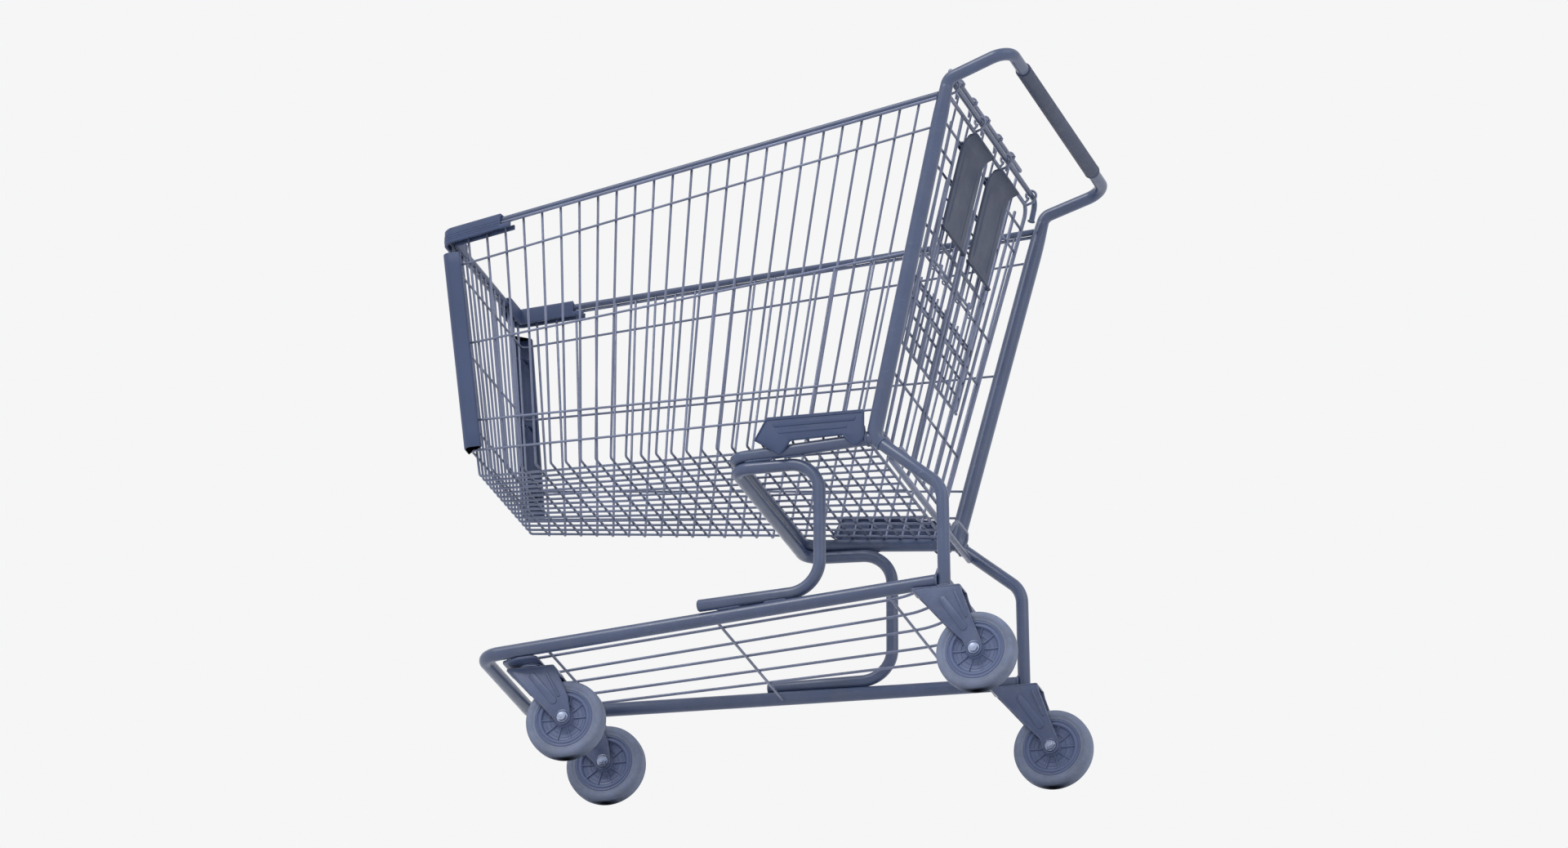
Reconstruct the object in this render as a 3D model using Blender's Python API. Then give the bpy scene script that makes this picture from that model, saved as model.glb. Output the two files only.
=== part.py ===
"""Rolling basket trolley: welded tube chassis, wire basket, lower tray,
swinging rear gate with a folding child seat, two swivel and two fixed casters.

Metres, +Z up.  The nose of the trolley points to -Y, the push handle is at +Y,
X runs across.  Every station below is given in millimetres, with y measured
from the rear axle line; pt() moves it into the part's frame, whose origin is
on the floor under the middle of the trolley.
"""
import bpy
import bmesh
import math
from mathutils import Vector, Matrix

# ---------------------------------------------------------------- dimensions
REAR_AXLE_Y = 399.75         # rear axle line behind the part's origin
WHEEL_R = 63.5               # 5 inch wheels
WHEEL_W = 30.0
GAP = 0.4                    # clearance left between welded neighbours

UPRIGHT_R = 12.5
HANDLE_R = 10.0
GRIP_R = 12.5
LEG_R = 10.0
BASE_R = 10.0
SUPPORT_R = 9.75
TRAY_R = 11.0
RIM_R = 5.0
HINGE_ROD_R = 4.5

HANDLE_Z, HANDLE_Y, HANDLE_X = 1037.0, 77.0, 301.0
UPRIGHT_TOP = (294.4, -27.1, 988.0)
SHOULDER = (295.6, -24.0, 1001.0)        # where the handle tube turns down into the upright
ELBOW = (244.6, -161.0, 430.4)
LEG_BEND = (240.0, -52.0, 340.0)
LEG_FOOT = (240.7, -49.4, 172.4)
BASE_CORNER = (201.0, -401.0, 438.0)
SUPPORT_TOP_CORNER = (205.0, -399.0, 417.6)
SUPPORT_KNEE = (212.0, -258.0, 412.4)
SUPPORT_FOOT = (211.0, -258.0, 201.5)
SUPPORT_END = (187.0, -437.0, 199.4)
TRAY_CORNER = (139.6, -831.6, 173.3)
TRAY_REAR = (240.9, -60.2, 183.9)
RIM_CORNER = (180.8, -878.5, 878.3)
RIM_REAR = (296.1, -29.6, 977.7)
FLOOR_FRONT = (147.6, -840.6, 479.5)
FLOOR_REAR = (229.5, -172.0, 445.6)
BELTS = (0.11, 0.46, 0.79, 0.912)       # side belts, fraction from rim to floor
SIDE_HOOPS = 12
FRONT_WIRES = 8

REAR_WHEEL = (232.5, 0.0, WHEEL_R)
FRONT_WHEEL = (108.5, -700.8, WHEEL_R)
SWIVEL_Y = -757.0                       # front swivel axis, ahead of its axle

GATE_HINGE = (-30.0, 1016.0)            # y, z of the fixed hinge rod
GATE_SLOPE = 0.2409                     # lean of the gate, dy per dz
GATE_Y0 = -37.0                         # gate plane's y at the hinge height
SEAT_HINGE_Z = 765.0
SEAT_DEPTH = 150.0
FLAP_Z = 962.0


def pt(x, y, z):
    return Vector((x, y + REAR_AXLE_Y, z)) / 1000.0


def lerp(a, b, t):
    return tuple(p + (q - p) * t for p, q in zip(a, b))


def gate_y(z):
    return GATE_Y0 - GATE_SLOPE * (GATE_HINGE[1] - z)


def back_y(z):
    return -42.0 - 0.245 * (1052.0 - z)


# ------------------------------------------------------------------ scene
for old in list(bpy.data.objects):
    bpy.data.objects.remove(old, do_unlink=True)

MATS = {}


def material(name, rgb, rough, metal):
    if name not in MATS:
        m = bpy.data.materials.new(name)
        m.use_nodes = True
        b = m.node_tree.nodes["Principled BSDF"]
        b.inputs["Base Color"].default_value = (*rgb, 1)
        b.inputs["Roughness"].default_value = rough
        b.inputs["Metallic"].default_value = metal
        MATS[name] = m
    return MATS[name]


TUBE = ("tube_coat", (0.055, 0.085, 0.20), 0.38, 0.35)
WIRE = ("wire_coat", (0.13, 0.14, 0.20), 0.35, 0.6)
PLASTIC = ("moulded_plastic", (0.06, 0.10, 0.24), 0.5, 0.0)
GRIP = ("grip_plastic", (0.04, 0.06, 0.13), 0.55, 0.0)
FORK = ("fork_coat", (0.07, 0.10, 0.22), 0.35, 0.5)
TYRE = ("tyre_rubber", (0.08, 0.09, 0.15), 0.7, 0.0)
HUB = ("hub_plastic", (0.05, 0.07, 0.16), 0.5, 0.0)
BOLT = ("bolt_zinc", (0.30, 0.32, 0.40), 0.3, 0.9)


def finish(name, bm, mat, origin=None, smooth=True):
    """Turn a bmesh in part coordinates into the named object."""
    bmesh.ops.recalc_face_normals(bm, faces=bm.faces)
    o = Vector(origin) if origin is not None else Vector((0, 0, 0))
    bmesh.ops.translate(bm, verts=bm.verts, vec=-o)
    me = bpy.data.meshes.new(name)
    bm.to_mesh(me)
    bm.free()
    me.materials.append(material(*mat))
    if smooth:
        me.shade_smooth()
        me.set_sharp_from_angle(angle=math.radians(32))
    ob = bpy.data.objects.new(name, me)
    ob.location = o
    bpy.context.scene.collection.objects.link(ob)
    return ob


def boolean(ob, bm, mode):
    """Apply one exact boolean of a second solid to an object."""
    bmesh.ops.recalc_face_normals(bm, faces=bm.faces)
    me = bpy.data.meshes.new("tool")
    bmesh.ops.translate(bm, verts=bm.verts, vec=-ob.location)
    bm.to_mesh(me)
    bm.free()
    tool = bpy.data.objects.new("tool", me)
    tool.location = ob.location
    bpy.context.scene.collection.objects.link(tool)
    mod = ob.modifiers.new("b", "BOOLEAN")
    mod.operation = mode
    mod.solver = "EXACT"
    mod.object = tool
    dg = bpy.context.evaluated_depsgraph_get()
    new = bpy.data.meshes.new_from_object(ob.evaluated_get(dg))
    ob.modifiers.clear()
    ob.data = new
    bpy.data.objects.remove(tool, do_unlink=True)
    return ob


# ------------------------------------------------------------- shape helpers
def rounded(points, radii, seg=4):
    """Polyline with each inner corner replaced by an arc of the given radius."""
    P = [Vector(p) for p in points]
    out = [P[0]]
    for i in range(1, len(P) - 1):
        r = radii[i - 1]
        a, b, c = P[i - 1], P[i], P[i + 1]
        u, v = (a - b).normalized(), (c - b).normalized()
        ang = u.angle(v)
        cut = r / math.tan(ang / 2)
        s, e = b + u * cut, b + v * cut
        centre = b + (u + v).normalized() * (r / math.sin(ang / 2))
        s0, e0 = s - centre, e - centre
        sweep = s0.angle(e0)
        ax = s0.cross(e0).normalized()
        for k in range(seg + 1):
            out.append(centre + Matrix.Rotation(sweep * k / seg, 3, ax) @ s0)
    out.append(P[-1])
    return out


def tube(bm, pts, r, sides=8, dome=None):
    """Round bar along a polyline; optional domed end at the first point."""
    pts = [Vector(p) for p in pts]
    t0 = (pts[1] - pts[0]).normalized()
    side = t0.cross(Vector((0.123, 0.456, 0.881))).normalized()
    rings = []
    n = len(pts)
    for i, p in enumerate(pts):
        if i == 0:
            t = t0
        elif i == n - 1:
            t = (pts[-1] - pts[-2]).normalized()
        else:
            t = ((pts[i] - pts[i - 1]).normalized() + (pts[i + 1] - pts[i]).normalized()).normalized()
        side = (side - t * side.dot(t)).normalized()
        up = t.cross(side)
        k = 1.0
        if 0 < i < n - 1:
            k = 1.0 / max(0.7, (pts[i] - pts[i - 1]).normalized().dot(t))
        rings.append([p + (side * math.cos(2 * math.pi * j / sides) + up * math.sin(2 * math.pi * j / sides)) * r * k
                      for j in range(sides)])
    if dome:
        c, extra = pts[0], []
        for f, g in dome:
            extra.append([c - t0 * r * g + (q - c) * f for q in rings[0]])
        rings = extra[::-1] + rings
    vr = [[bm.verts.new(q) for q in ring] for ring in rings]
    for a, b in zip(vr, vr[1:]):
        for j in range(sides):
            bm.faces.new((a[j], a[(j + 1) % sides], b[(j + 1) % sides], b[j]))
    bm.faces.new(vr[0][::-1])
    bm.faces.new(vr[-1])
    return bm


def tube_object(name, pts, r, mat, sides=8, dome=None):
    bm = bmesh.new()
    tube(bm, pts, r / 1000.0, sides, dome)
    return finish(name, bm, mat)


def prism(bm, poly, thick):
    """Solid between a planar polygon (3-D points) and its copy moved by thick."""
    t = Vector(thick)
    a = [bm.verts.new(Vector(p)) for p in poly]
    b = [bm.verts.new(Vector(p) + t) for p in poly]
    bm.faces.new(a[::-1])
    bm.faces.new(b)
    n = len(a)
    for i in range(n):
        bm.faces.new((a[i], a[(i + 1) % n], b[(i + 1) % n], b[i]))
    return bm


def lathe(bm, centre, profile, sides, phase=0.0):
    """Ring solid turned about the X axis.  profile: closed list of (x, radius)."""
    vs = []
    for j in range(sides):
        a = phase + 2 * math.pi * j / sides
        vs.append([bm.verts.new(Vector(centre) + Vector((x, r * math.cos(a), r * math.sin(a))) / 1000.0)
                   for x, r in profile])
    m = len(profile)
    for j in range(sides):
        A, B = vs[j], vs[(j + 1) % sides]
        for i in range(m):
            k = (i + 1) % m
            bm.faces.new((A[i], A[k], B[k], B[i]))
    return bm


def rod_x(bm, centre, parts, sides, phase=0.0):
    """Stepped solid bar along X.  parts: list of (x, radius) from end to end."""
    vs = [[bm.verts.new(Vector(centre) + Vector((x, r * math.cos(phase + 2 * math.pi * j / sides),
                                                r * math.sin(phase + 2 * math.pi * j / sides))) / 1000.0)
           for j in range(sides)] for x, r in parts]
    for A, B in zip(vs, vs[1:]):
        for j in range(sides):
            bm.faces.new((A[j], A[(j + 1) % sides], B[(j + 1) % sides], B[j]))
    bm.faces.new(vs[0][::-1])
    bm.faces.new(vs[-1])
    return bm


def rod_z(bm, centre, parts, sides, phase=0.0):
    """Stepped solid bar along Z.  parts: list of (z, radius) from end to end."""
    vs = [[bm.verts.new(Vector(centre) + Vector((r * math.cos(phase + 2 * math.pi * j / sides),
                                                r * math.sin(phase + 2 * math.pi * j / sides), z)) / 1000.0)
           for j in range(sides)] for z, r in parts]
    for A, B in zip(vs, vs[1:]):
        for j in range(sides):
            bm.faces.new((A[j], A[(j + 1) % sides], B[(j + 1) % sides], B[j]))
    bm.faces.new(vs[0][::-1])
    bm.faces.new(vs[-1])
    return bm


def ring_z(bm, centre, profile, sides, phase=0.0):
    """Ring solid turned about the Z axis.  profile: closed list of (z, radius)."""
    vs = []
    for j in range(sides):
        a = phase + 2 * math.pi * j / sides
        vs.append([bm.verts.new(Vector(centre) + Vector((r * math.cos(a), r * math.sin(a), z)) / 1000.0)
                   for z, r in profile])
    m = len(profile)
    for j in range(sides):
        A, B = vs[j], vs[(j + 1) % sides]
        for i in range(m):
            k = (i + 1) % m
            bm.faces.new((A[i], A[k], B[k], B[i]))
    return bm


def lattice(bm, uprights, rails, place, thick):
    """Welded wire mesh in one sheet.

    uprights: (u, v0, v1, width), rails: (v, u0, u1, width), all in sheet
    coordinates; place(u, v) gives the sheet's middle surface and thick(u, v)
    half its thickness as a vector.
    """
    boxes = [(u - w / 2, u + w / 2, v0, v1) for u, v0, v1, w in uprights]
    boxes += [(u0, u1, v - w / 2, v + w / 2) for v, u0, u1, w in rails]
    key = lambda a: round(a, 5)
    us = sorted({key(b[0]) for b in boxes} | {key(b[1]) for b in boxes})
    vs = sorted({key(b[2]) for b in boxes} | {key(b[3]) for b in boxes})
    nu, nv = len(us) - 1, len(vs) - 1
    full = set()
    for i in range(nu):
        cu = (us[i] + us[i + 1]) / 2
        for j in range(nv):
            cv = (vs[j] + vs[j + 1]) / 2
            if any(b[0] < cu < b[1] and b[2] < cv < b[3] for b in boxes):
                full.add((i, j))
    cache = {}

    def vert(i, j, s):
        if (i, j, s) not in cache:
            u, v = us[i], vs[j]
            cache[(i, j, s)] = bm.verts.new(Vector(place(u, v)) + Vector(thick(u, v)) * s)
        return cache[(i, j, s)]

    for i, j in full:
        for s in (-1, 1):
            q = [vert(i, j, s), vert(i + 1, j, s), vert(i + 1, j + 1, s), vert(i, j + 1, s)]
            bm.faces.new(q if s > 0 else q[::-1])
        for di, dj, e in ((-1, 0, ((i, j), (i, j + 1))), (1, 0, ((i + 1, j + 1), (i + 1, j))),
                          (0, -1, ((i + 1, j), (i, j))), (0, 1, ((i, j + 1), (i + 1, j + 1)))):
            if (i + di, j + dj) not in full:
                (a, b), (c, d) = e
                bm.faces.new((vert(a, b, 1), vert(a, b, -1), vert(c, d, -1), vert(c, d, 1)))
    return bm


# ------------------------------------------------------------------ chassis
def mirrored(points, s):
    return [pt(s * x, y, z) for x, y, z in points]


for side, s in (("left", 1), ("right", -1)):
    foot = lerp(ELBOW, UPRIGHT_TOP, (445.5 - ELBOW[2]) / (UPRIGHT_TOP[2] - ELBOW[2]))
    tube_object("upright_tube_" + side,
                mirrored([UPRIGHT_TOP, lerp(foot, UPRIGHT_TOP, 0.5), foot], s), UPRIGHT_R, TUBE, 10,
                dome=((0.84, 0.16),))
    leg0 = lerp(ELBOW, LEG_BEND, 0.115)
    tube_object("rear_leg_" + side,
                rounded(mirrored([leg0, LEG_BEND, LEG_FOOT], s), [0.045], 4), LEG_R, TUBE, 8)

# push handle: crossbar, corners, and arms that turn down into the uprights
arm_end = lerp(UPRIGHT_TOP, SHOULDER, 2.6 / (SHOULDER[2] - UPRIGHT_TOP[2]))
hl = [arm_end, SHOULDER, (HANDLE_X, HANDLE_Y, HANDLE_Z)]
hr = [(-x, y, z) for x, y, z in hl[::-1]]
tube_object("handle_tube", rounded([pt(*p) for p in hl + hr], [0.019, 0.030, 0.030, 0.019], 4), HANDLE_R, TUBE, 8)

# moulded grip sleeve round the crossbar
bm = bmesh.new()
lathe(bm, pt(0, HANDLE_Y, HANDLE_Z),
      [(-217, HANDLE_R + GAP + 0.5), (-217, GRIP_R), (217, GRIP_R), (217, HANDLE_R + GAP + 0.5)], 12)
finish("handle_grip", bm, GRIP)

# base frame: U-shaped tube under the rear half of the basket
rear_end = (245.0, -158.4, 430.3)
bl = [rear_end, BASE_CORNER]
br = [(-x, y, z) for x, y, z in bl[::-1]]
tube_object("base_frame_tube", rounded([pt(*p) for p in bl + br], [0.022, 0.022], 5), BASE_R, TUBE, 8)

# tray support: one tube bent seven times, from one tray rail up and across to the other
sl = [SUPPORT_END, SUPPORT_FOOT, SUPPORT_KNEE, SUPPORT_TOP_CORNER]
sr = [(-x, y, z) for x, y, z in sl[::-1]]
tube_object("tray_support_tube",
            rounded([pt(*p) for p in sl + sr], [0.038, 0.038, 0.024, 0.024, 0.038, 0.038], 4), SUPPORT_R, TUBE, 8)

# tray rail: U-shaped tube, closed at the nose
tl = [TRAY_REAR, TRAY_CORNER]
tr = [(-x, y, z) for x, y, z in tl[::-1]]
tube_object("tray_rail_tube", rounded([pt(*p) for p in tl + tr], [0.034, 0.034], 5), TRAY_R, TUBE, 8)

# rod that ties the two rear legs together under the gate
bm = bmesh.new()
rod_x(bm, pt(0, -136, 397), [(-231.0, 5.0), (231.0, 5.0)], 8)
finish("lower_cross_rod", bm, WIRE)


# tray deck: long wires on cross wires, tails turned up at the back
def tray_place(u, v):
    # u across (mm at the back), v along from nose to tail
    k = 0.56 + 0.44 * (v + 800.0) / 700.0
    z = 171.5 + 10.5 * (v + 831.0) / 782.0
    if v > -110.0:
        z += (v + 110.0) ** 2 / 110.0
    return pt(u * k, v, z)


tray_us = [-190 + 63.33 * i for i in range(7)]
bm = bmesh.new()
lattice(bm, [(u, -742.0, -62.0, 4.6) for u in tray_us],
        [(-738.0, -192.3, 192.3, 4.6), (-410.0, -196.0, 196.0, 4.6), (-100.0, -196.0, 196.0, 4.6),
         (-64.5, -192.3, 192.3, 4.6)],
        tray_place, lambda u, v: (0, 0, 0.0023))
finish("tray_wire_deck", bm, WIRE, smooth=False)

# ------------------------------------------------------------------- basket
rim_end = lerp(RIM_CORNER, RIM_REAR, 0.981)
rl = [rim_end, RIM_CORNER]
rr = [(-x, y, z) for x, y, z in rl[::-1]]
tube_object("basket_rim_rod", rounded([pt(*p) for p in rl + rr], [0.026, 0.026], 5), RIM_R, TUBE, 8)

UF, UR = 0.046, 0.960                    # where the side sheet starts and ends


def side_point(t, v):
    top = lerp(RIM_CORNER, RIM_REAR, t)
    low = lerp(FLOOR_FRONT, FLOOR_REAR, t)
    return lerp(top, low, v)


TOP_V, LOW_V = 0.0150, 0.9885
for side, s in (("left", 1), ("right", -1)):
    us = [UF + (UR - UF) * i / (SIDE_HOOPS - 1) for i in range(SIDE_HOOPS)]
    w, h = 0.0056, 0.0105
    bm = bmesh.new()
    lattice(bm, [(u, TOP_V, LOW_V, w) for u in us],
            [(b, UF - w / 2, UR + w / 2, h) for b in BELTS],
            lambda u, v: pt(s * side_point(u, v)[0], *side_point(u, v)[1:]),
            lambda u, v: (0.0024, 0, 0))
    finish("basket_side_" + side, bm, WIRE, smooth=False)


def front_point(a, v):
    top = (a * 157.0, RIM_CORNER[1] + 0.4, RIM_CORNER[2])
    low = (a * 131.0, FLOOR_FRONT[1], FLOOR_FRONT[2])
    return lerp(top, low, v)


bm = bmesh.new()
fu = [-1 + 2 * i / (FRONT_WIRES - 1) for i in range(FRONT_WIRES)]
lattice(bm, [(u, 0.0165, 0.988, 0.034) for u in fu], [(b, -1.017, 1.017, 0.012) for b in BELTS],
        lambda u, v: pt(*front_point(u, v)), lambda u, v: (0, 0.0024, 0))
finish("basket_front", bm, WIRE, smooth=False)


def floor_point(a, t):
    e = lerp(FLOOR_FRONT, FLOOR_REAR, t)
    return (a * (e[0] + 1.5), e[1], e[2] - 2.6)


bm = bmesh.new()
fl_u = [-1 + 2 * i / 6 for i in range(7)]
fl_t = [0.005 + 0.99 * i / 8 for i in range(9)]
lattice(bm, [(u, 0.001, 0.999, 0.03) for u in fl_u], [(t, -1.015, 1.015, 0.0075) for t in fl_t],
        lambda u, v: pt(*floor_point(u, v)), lambda u, v: (0, 0, 0.0023))
finish("basket_floor", bm, WIRE, smooth=False)

# clip-on bumpers: an inverted channel that caps the rim round each front corner
CHANNEL = [(-10.5, -13), (-10.5, 11), (-7, 15), (7, 15), (10.5, 11), (10.5, -13), (6.6, -13), (6.6, 6.4),
           (-6.6, 6.4), (-6.6, -13)]
for side, s in (("left", 1), ("right", -1)):
    c = RIM_CORNER
    back = lerp(RIM_CORNER, RIM_REAR, 0.118)
    inner = (128.0, c[1], c[2])
    path = rounded(mirrored([back, c, inner], s), [0.026], 4)
    bm = bmesh.new()
    rings = []
    for i, p in enumerate(path):
        a = path[max(i - 1, 0)]
        b = path[min(i + 1, len(path) - 1)]
        t = (b - a).normalized()
        n = t.cross(Vector((0, 0, 1))).normalized()
        rings.append([bm.verts.new(p + n * (q[0] / 1000.0) + Vector((0, 0, q[1] / 1000.0))) for q in CHANNEL])
    m = len(CHANNEL)
    for A, B in zip(rings, rings[1:]):
        for j in range(m):
            k = (j + 1) % m
            bm.faces.new((A[j], A[k], B[k], B[j]))
    bm.faces.new(rings[0][::-1])
    bm.faces.new(rings[-1])
    finish("corner_bumper_" + side, bm, PLASTIC)

    # guard strip: curved plastic strip outside the corner wires
    bm = bmesh.new()
    rows = []
    for k in range(4):
        z = 845.0 - (845.0 - 512.0) * k / 3
        v = (c[2] - z) / (c[2] - FLOOR_FRONT[2])
        cx, cy, _ = lerp(RIM_CORNER, FLOOR_FRONT, v)
        ox, oy = cx - 24.0, cy + 24.0          # centre of the corner's bend
        ring = []
        for r in (33.5, 29.5):
            an = [math.radians(a) for a in (-3, -24, -48, -72, -94)]
            ring.append([pt(s * (ox + r * math.cos(a)), oy + r * math.sin(a), z) for a in an])
        rows.append([bm.verts.new(q) for q in ring[0] + ring[1][::-1]])
    for A, B in zip(rows, rows[1:]):
        n = len(A)
        for j in range(n):
            k = (j + 1) % n
            bm.faces.new((A[j], A[k], B[k], B[j]))
    bm.faces.new(rows[0][::-1])
    bm.faces.new(rows[-1])
    finish("corner_strip_" + side, bm, PLASTIC)

    # side guard: plate over the joint of basket and base frame
    GUARD = [(-334.6, 482), (-178.5, 481.6), (-178.5, 436), (-183, 428), (-192, 424), (-200, 427), (-215.4, 443.2),
             (-304.1, 441.8), (-314.7, 419.7), (-354.5, 447.2)]
    bm = bmesh.new()

    def guard_x(y):
        return BASE_CORNER[0] + (y - BASE_CORNER[1]) * (ELBOW[0] - BASE_CORNER[0]) / (ELBOW[1] - BASE_CORNER[1]) + 11.6
    prism(bm, [pt(s * guard_x(y), y, z) for y, z in GUARD], (s * 0.003, 0, 0))
    finish("side_guard_" + side, bm, PLASTIC, smooth=False)

# --------------------------------------------------- rear gate and child seat
# fixed hinge rod: an arch across the back, its ends turned down to the rim
zl = [(266.0, -38.0, 985.0), (264.0, GATE_HINGE[0], GATE_HINGE[1])]
zr = [(-x, y, z) for x, y, z in zl[::-1]]
tube_object("gate_hinge_rod", rounded([pt(*p) for p in zl + zr], [0.016, 0.016], 4), HINGE_ROD_R, TUBE, 8)

hinge_o = pt(0, *GATE_HINGE)


def gate_place(u, v):
    # u: across at the top, v: height
    k = 1.0 - 0.225 * (1004.0 - v) / (1004.0 - 465.0)
    return pt(u * k, gate_y(v), v)


def sheet_normal(slope, half):
    n = Vector((0, 1, -slope)).normalized()
    return n * half


gate_bars = [(-250, 468, 1004, 6), (250, 468, 1004, 6), (-196, 468, 964, 6), (196, 468, 964, 6),
             (-150, 468, 1004, 6), (150, 468, 1004, 6), (-92, 468, 770, 6), (92, 468, 770, 6),
             (-9, 468, 980, 6), (9, 468, 980, 6)]
gate_rails = [(1001, -253, 253, 6), (FLAP_Z, -250, 250, 6), (SEAT_HINGE_Z, -250, 250, 6),
              (690, -250, 250, 6), (565, -250, 250, 6), (471, -253, 253, 6)]
bm = bmesh.new()
lattice(bm, gate_bars, gate_rails, gate_place, lambda u, v: sheet_normal(GATE_SLOPE, 0.0028))
gate = finish("rear_gate", bm, WIRE, origin=hinge_o, smooth=False)
# four hook eyes that carry the gate on the hinge rod
for x in (-236.0, -80.0, 80.0, 236.0):
    bm = bmesh.new()
    lathe(bm, pt(x, *GATE_HINGE), [(-3, 5.6), (-3, 10.2), (3, 10.2), (3, 5.6)], 10, math.radians(18))
    boolean(gate, bm, "UNION")
    bm = bmesh.new()
    y0, z0 = GATE_HINGE
    prism(bm, [pt(x - 3, y0 - 9.6, z0 - 1), pt(x - 3, y0 - 6.6, z0 - 5.5), pt(x - 3, gate_y(1001) + 2.4, 1000.4),
               pt(x - 3, gate_y(1001) - 2.4, 1000.0)], (0.006, 0, 0))
    boolean(gate, bm, "UNION")

# child seat back: hangs in front of the gate, its top rod above the rim
seat_d = Vector((0, GATE_SLOPE, 1)).normalized()
seat_n = Vector((0, -1, GATE_SLOPE)).normalized()
seat_h = pt(0, gate_y(SEAT_HINGE_Z), SEAT_HINGE_Z)
seat_f = seat_h + seat_n * 0.0085 + seat_d * (SEAT_DEPTH / 1000.0)
seat_f_z = seat_f.z * 1000.0


def back_place(u, v):
    k = 1.0 - 0.09 * (1052.0 - v) / (1052.0 - 630.0)
    return pt(u * k, back_y(v), v)


back_bars = [(u, 630, 1052, 5) for u in (-205, -154, -77, 0, 77, 154, 205)]
back_rails = [(1050, -207.5, 207.5, 7), (seat_f_z, -205, 205, 5), (820, -205, 205, 5), (738, -205, 205, 5),
              (697, -205, 205, 5), (665, -205, 205, 5), (632.5, -207.5, 207.5, 5)]
bm = bmesh.new()
lattice(bm, back_bars, back_rails, back_place, lambda u, v: sheet_normal(0.245, 0.0025))
finish("seat_back", bm, WIRE, origin=seat_f, smooth=False)


# seat base: wire grid folded up between the gate and the seat back
def base_place(u, v):
    p = seat_h + seat_n * 0.0085 + seat_d * (v / 1000.0)
    return Vector((u / 1000.0, p.y, p.z))


bm = bmesh.new()
lattice(bm, [(u, 10, 150, 4.4) for u in (-124, -62, 0, 62, 124)],
        [(12.2, -126.2, 126.2, 4.4), (50, -124, 124, 4.4), (100, -124, 124, 4.4), (147.8, -126.2, 126.2, 4.4)],
        base_place, lambda u, v: seat_n * 0.0022)
finish("seat_base", bm, WIRE, origin=seat_h, smooth=False)

# leg-opening flaps: moulded panels hooked over the gate's upper cross wire
flap_o = pt(0, gate_y(FLAP_Z), FLAP_Z)
for side, s in (("left", 1), ("right", -1)):
    x0 = 18.5 if s > 0 else -133.5
    wid = (0.115, 0, 0)
    d = Vector((0, -GATE_SLOPE, -1)).normalized()
    n = Vector((0, 1, -GATE_SLOPE)).normalized()
    base = pt(x0, gate_y(FLAP_Z), FLAP_Z)

    def at(off, down):
        return base + n * (off / 1000.0) + d * (down / 1000.0)
    bm = bmesh.new()
    prism(bm, [at(5.2, 0), at(4.4, 140), at(5.6, 146), at(10.5, 150), at(16.0, 149.5), at(15.2, 147.2), at(11.0, 147.4),
               at(8.2, 144.6), at(7.0, 139), at(8.2, 0), at(12.0, -9), at(22.0, -17), at(20.4, -19.4), at(9.8, -11.4)], wid)
    flap = finish("leg_flap_" + side, bm, PLASTIC, origin=Vector((0, flap_o.y, flap_o.z)), smooth=False)
    arc = [at(8.0 * math.cos(a), -8.0 * math.sin(a)) for a in [math.radians(v) for v in (-25, 20, 65, 110, 155, 200, 230)]]
    arc += [at(5.2 * math.cos(a), -5.2 * math.sin(a)) for a in [math.radians(v) for v in (230, 200, 155, 110, 65, 20, -25)]]
    bm = bmesh.new()
    prism(bm, arc, wid)
    boolean(flap, bm, "UNION")

# ------------------------------------------------------------------- casters
TYRE_PROFILE = [(-13.0, 47.0), (-15.0, 57.5), (-7.0, WHEEL_R), (7.0, WHEEL_R), (15.0, 57.5), (13.0, 47.0)]
HUB_PROFILE = [(-14.5, 7.6), (-14.5, 14.0), (-8.0, 17.0), (-12.0, 46.2), (12.0, 46.2), (8.0, 17.0), (14.5, 14.0),
               (14.5, 7.6)]
FLAT = 1.0 / math.cos(math.pi / 24)      # lets a flat facet of the tread touch the floor


def wheel(tag, c):
    o = pt(*c)
    bm = bmesh.new()
    lathe(bm, o, [(x, r * FLAT) for x, r in TYRE_PROFILE], 24, math.pi / 24)
    finish("tyre_" + tag, bm, TYRE, origin=o)
    bm = bmesh.new()
    lathe(bm, o, HUB_PROFILE, 24, math.pi / 24)
    finish("wheel_hub_" + tag, bm, HUB, origin=o)
    bm = bmesh.new()
    lathe(bm, o, [(-16.2, 5.2), (-16.2, 6.9), (16.2, 6.9), (16.2, 5.2)], 10)
    finish("axle_sleeve_" + tag, bm, BOLT, origin=o)


def axle(tag, c, half, s):
    """Bolt with its head on the outer side and a nut on the inner side."""
    o = pt(*c)
    bm = bmesh.new()
    h = half + 0.5
    ends = [(-h - 9.5, 4.7), (h, 4.7), (h, 8.0), (h + 4.5, 8.0), (h + 6.5, 5.0)]
    rod_x(bm, o, [(s * x, r) for x, r in ends], 12, math.radians(15))
    finish("axle_bolt_" + tag, bm, BOLT, origin=o)
    bm = bmesh.new()
    lathe(bm, o, [(s * x, r) for x, r in ((-h - 7.0, 5.7), (-h - 7.0, 8.9), (-h, 8.9), (-h, 5.7))], 6)
    finish("axle_nut_" + tag, bm, BOLT, origin=o)


def side_plate(bm, outline, x, thick):
    return prism(bm, [pt(x, y, z) for y, z in outline], (thick / 1000.0, 0, 0))


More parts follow.
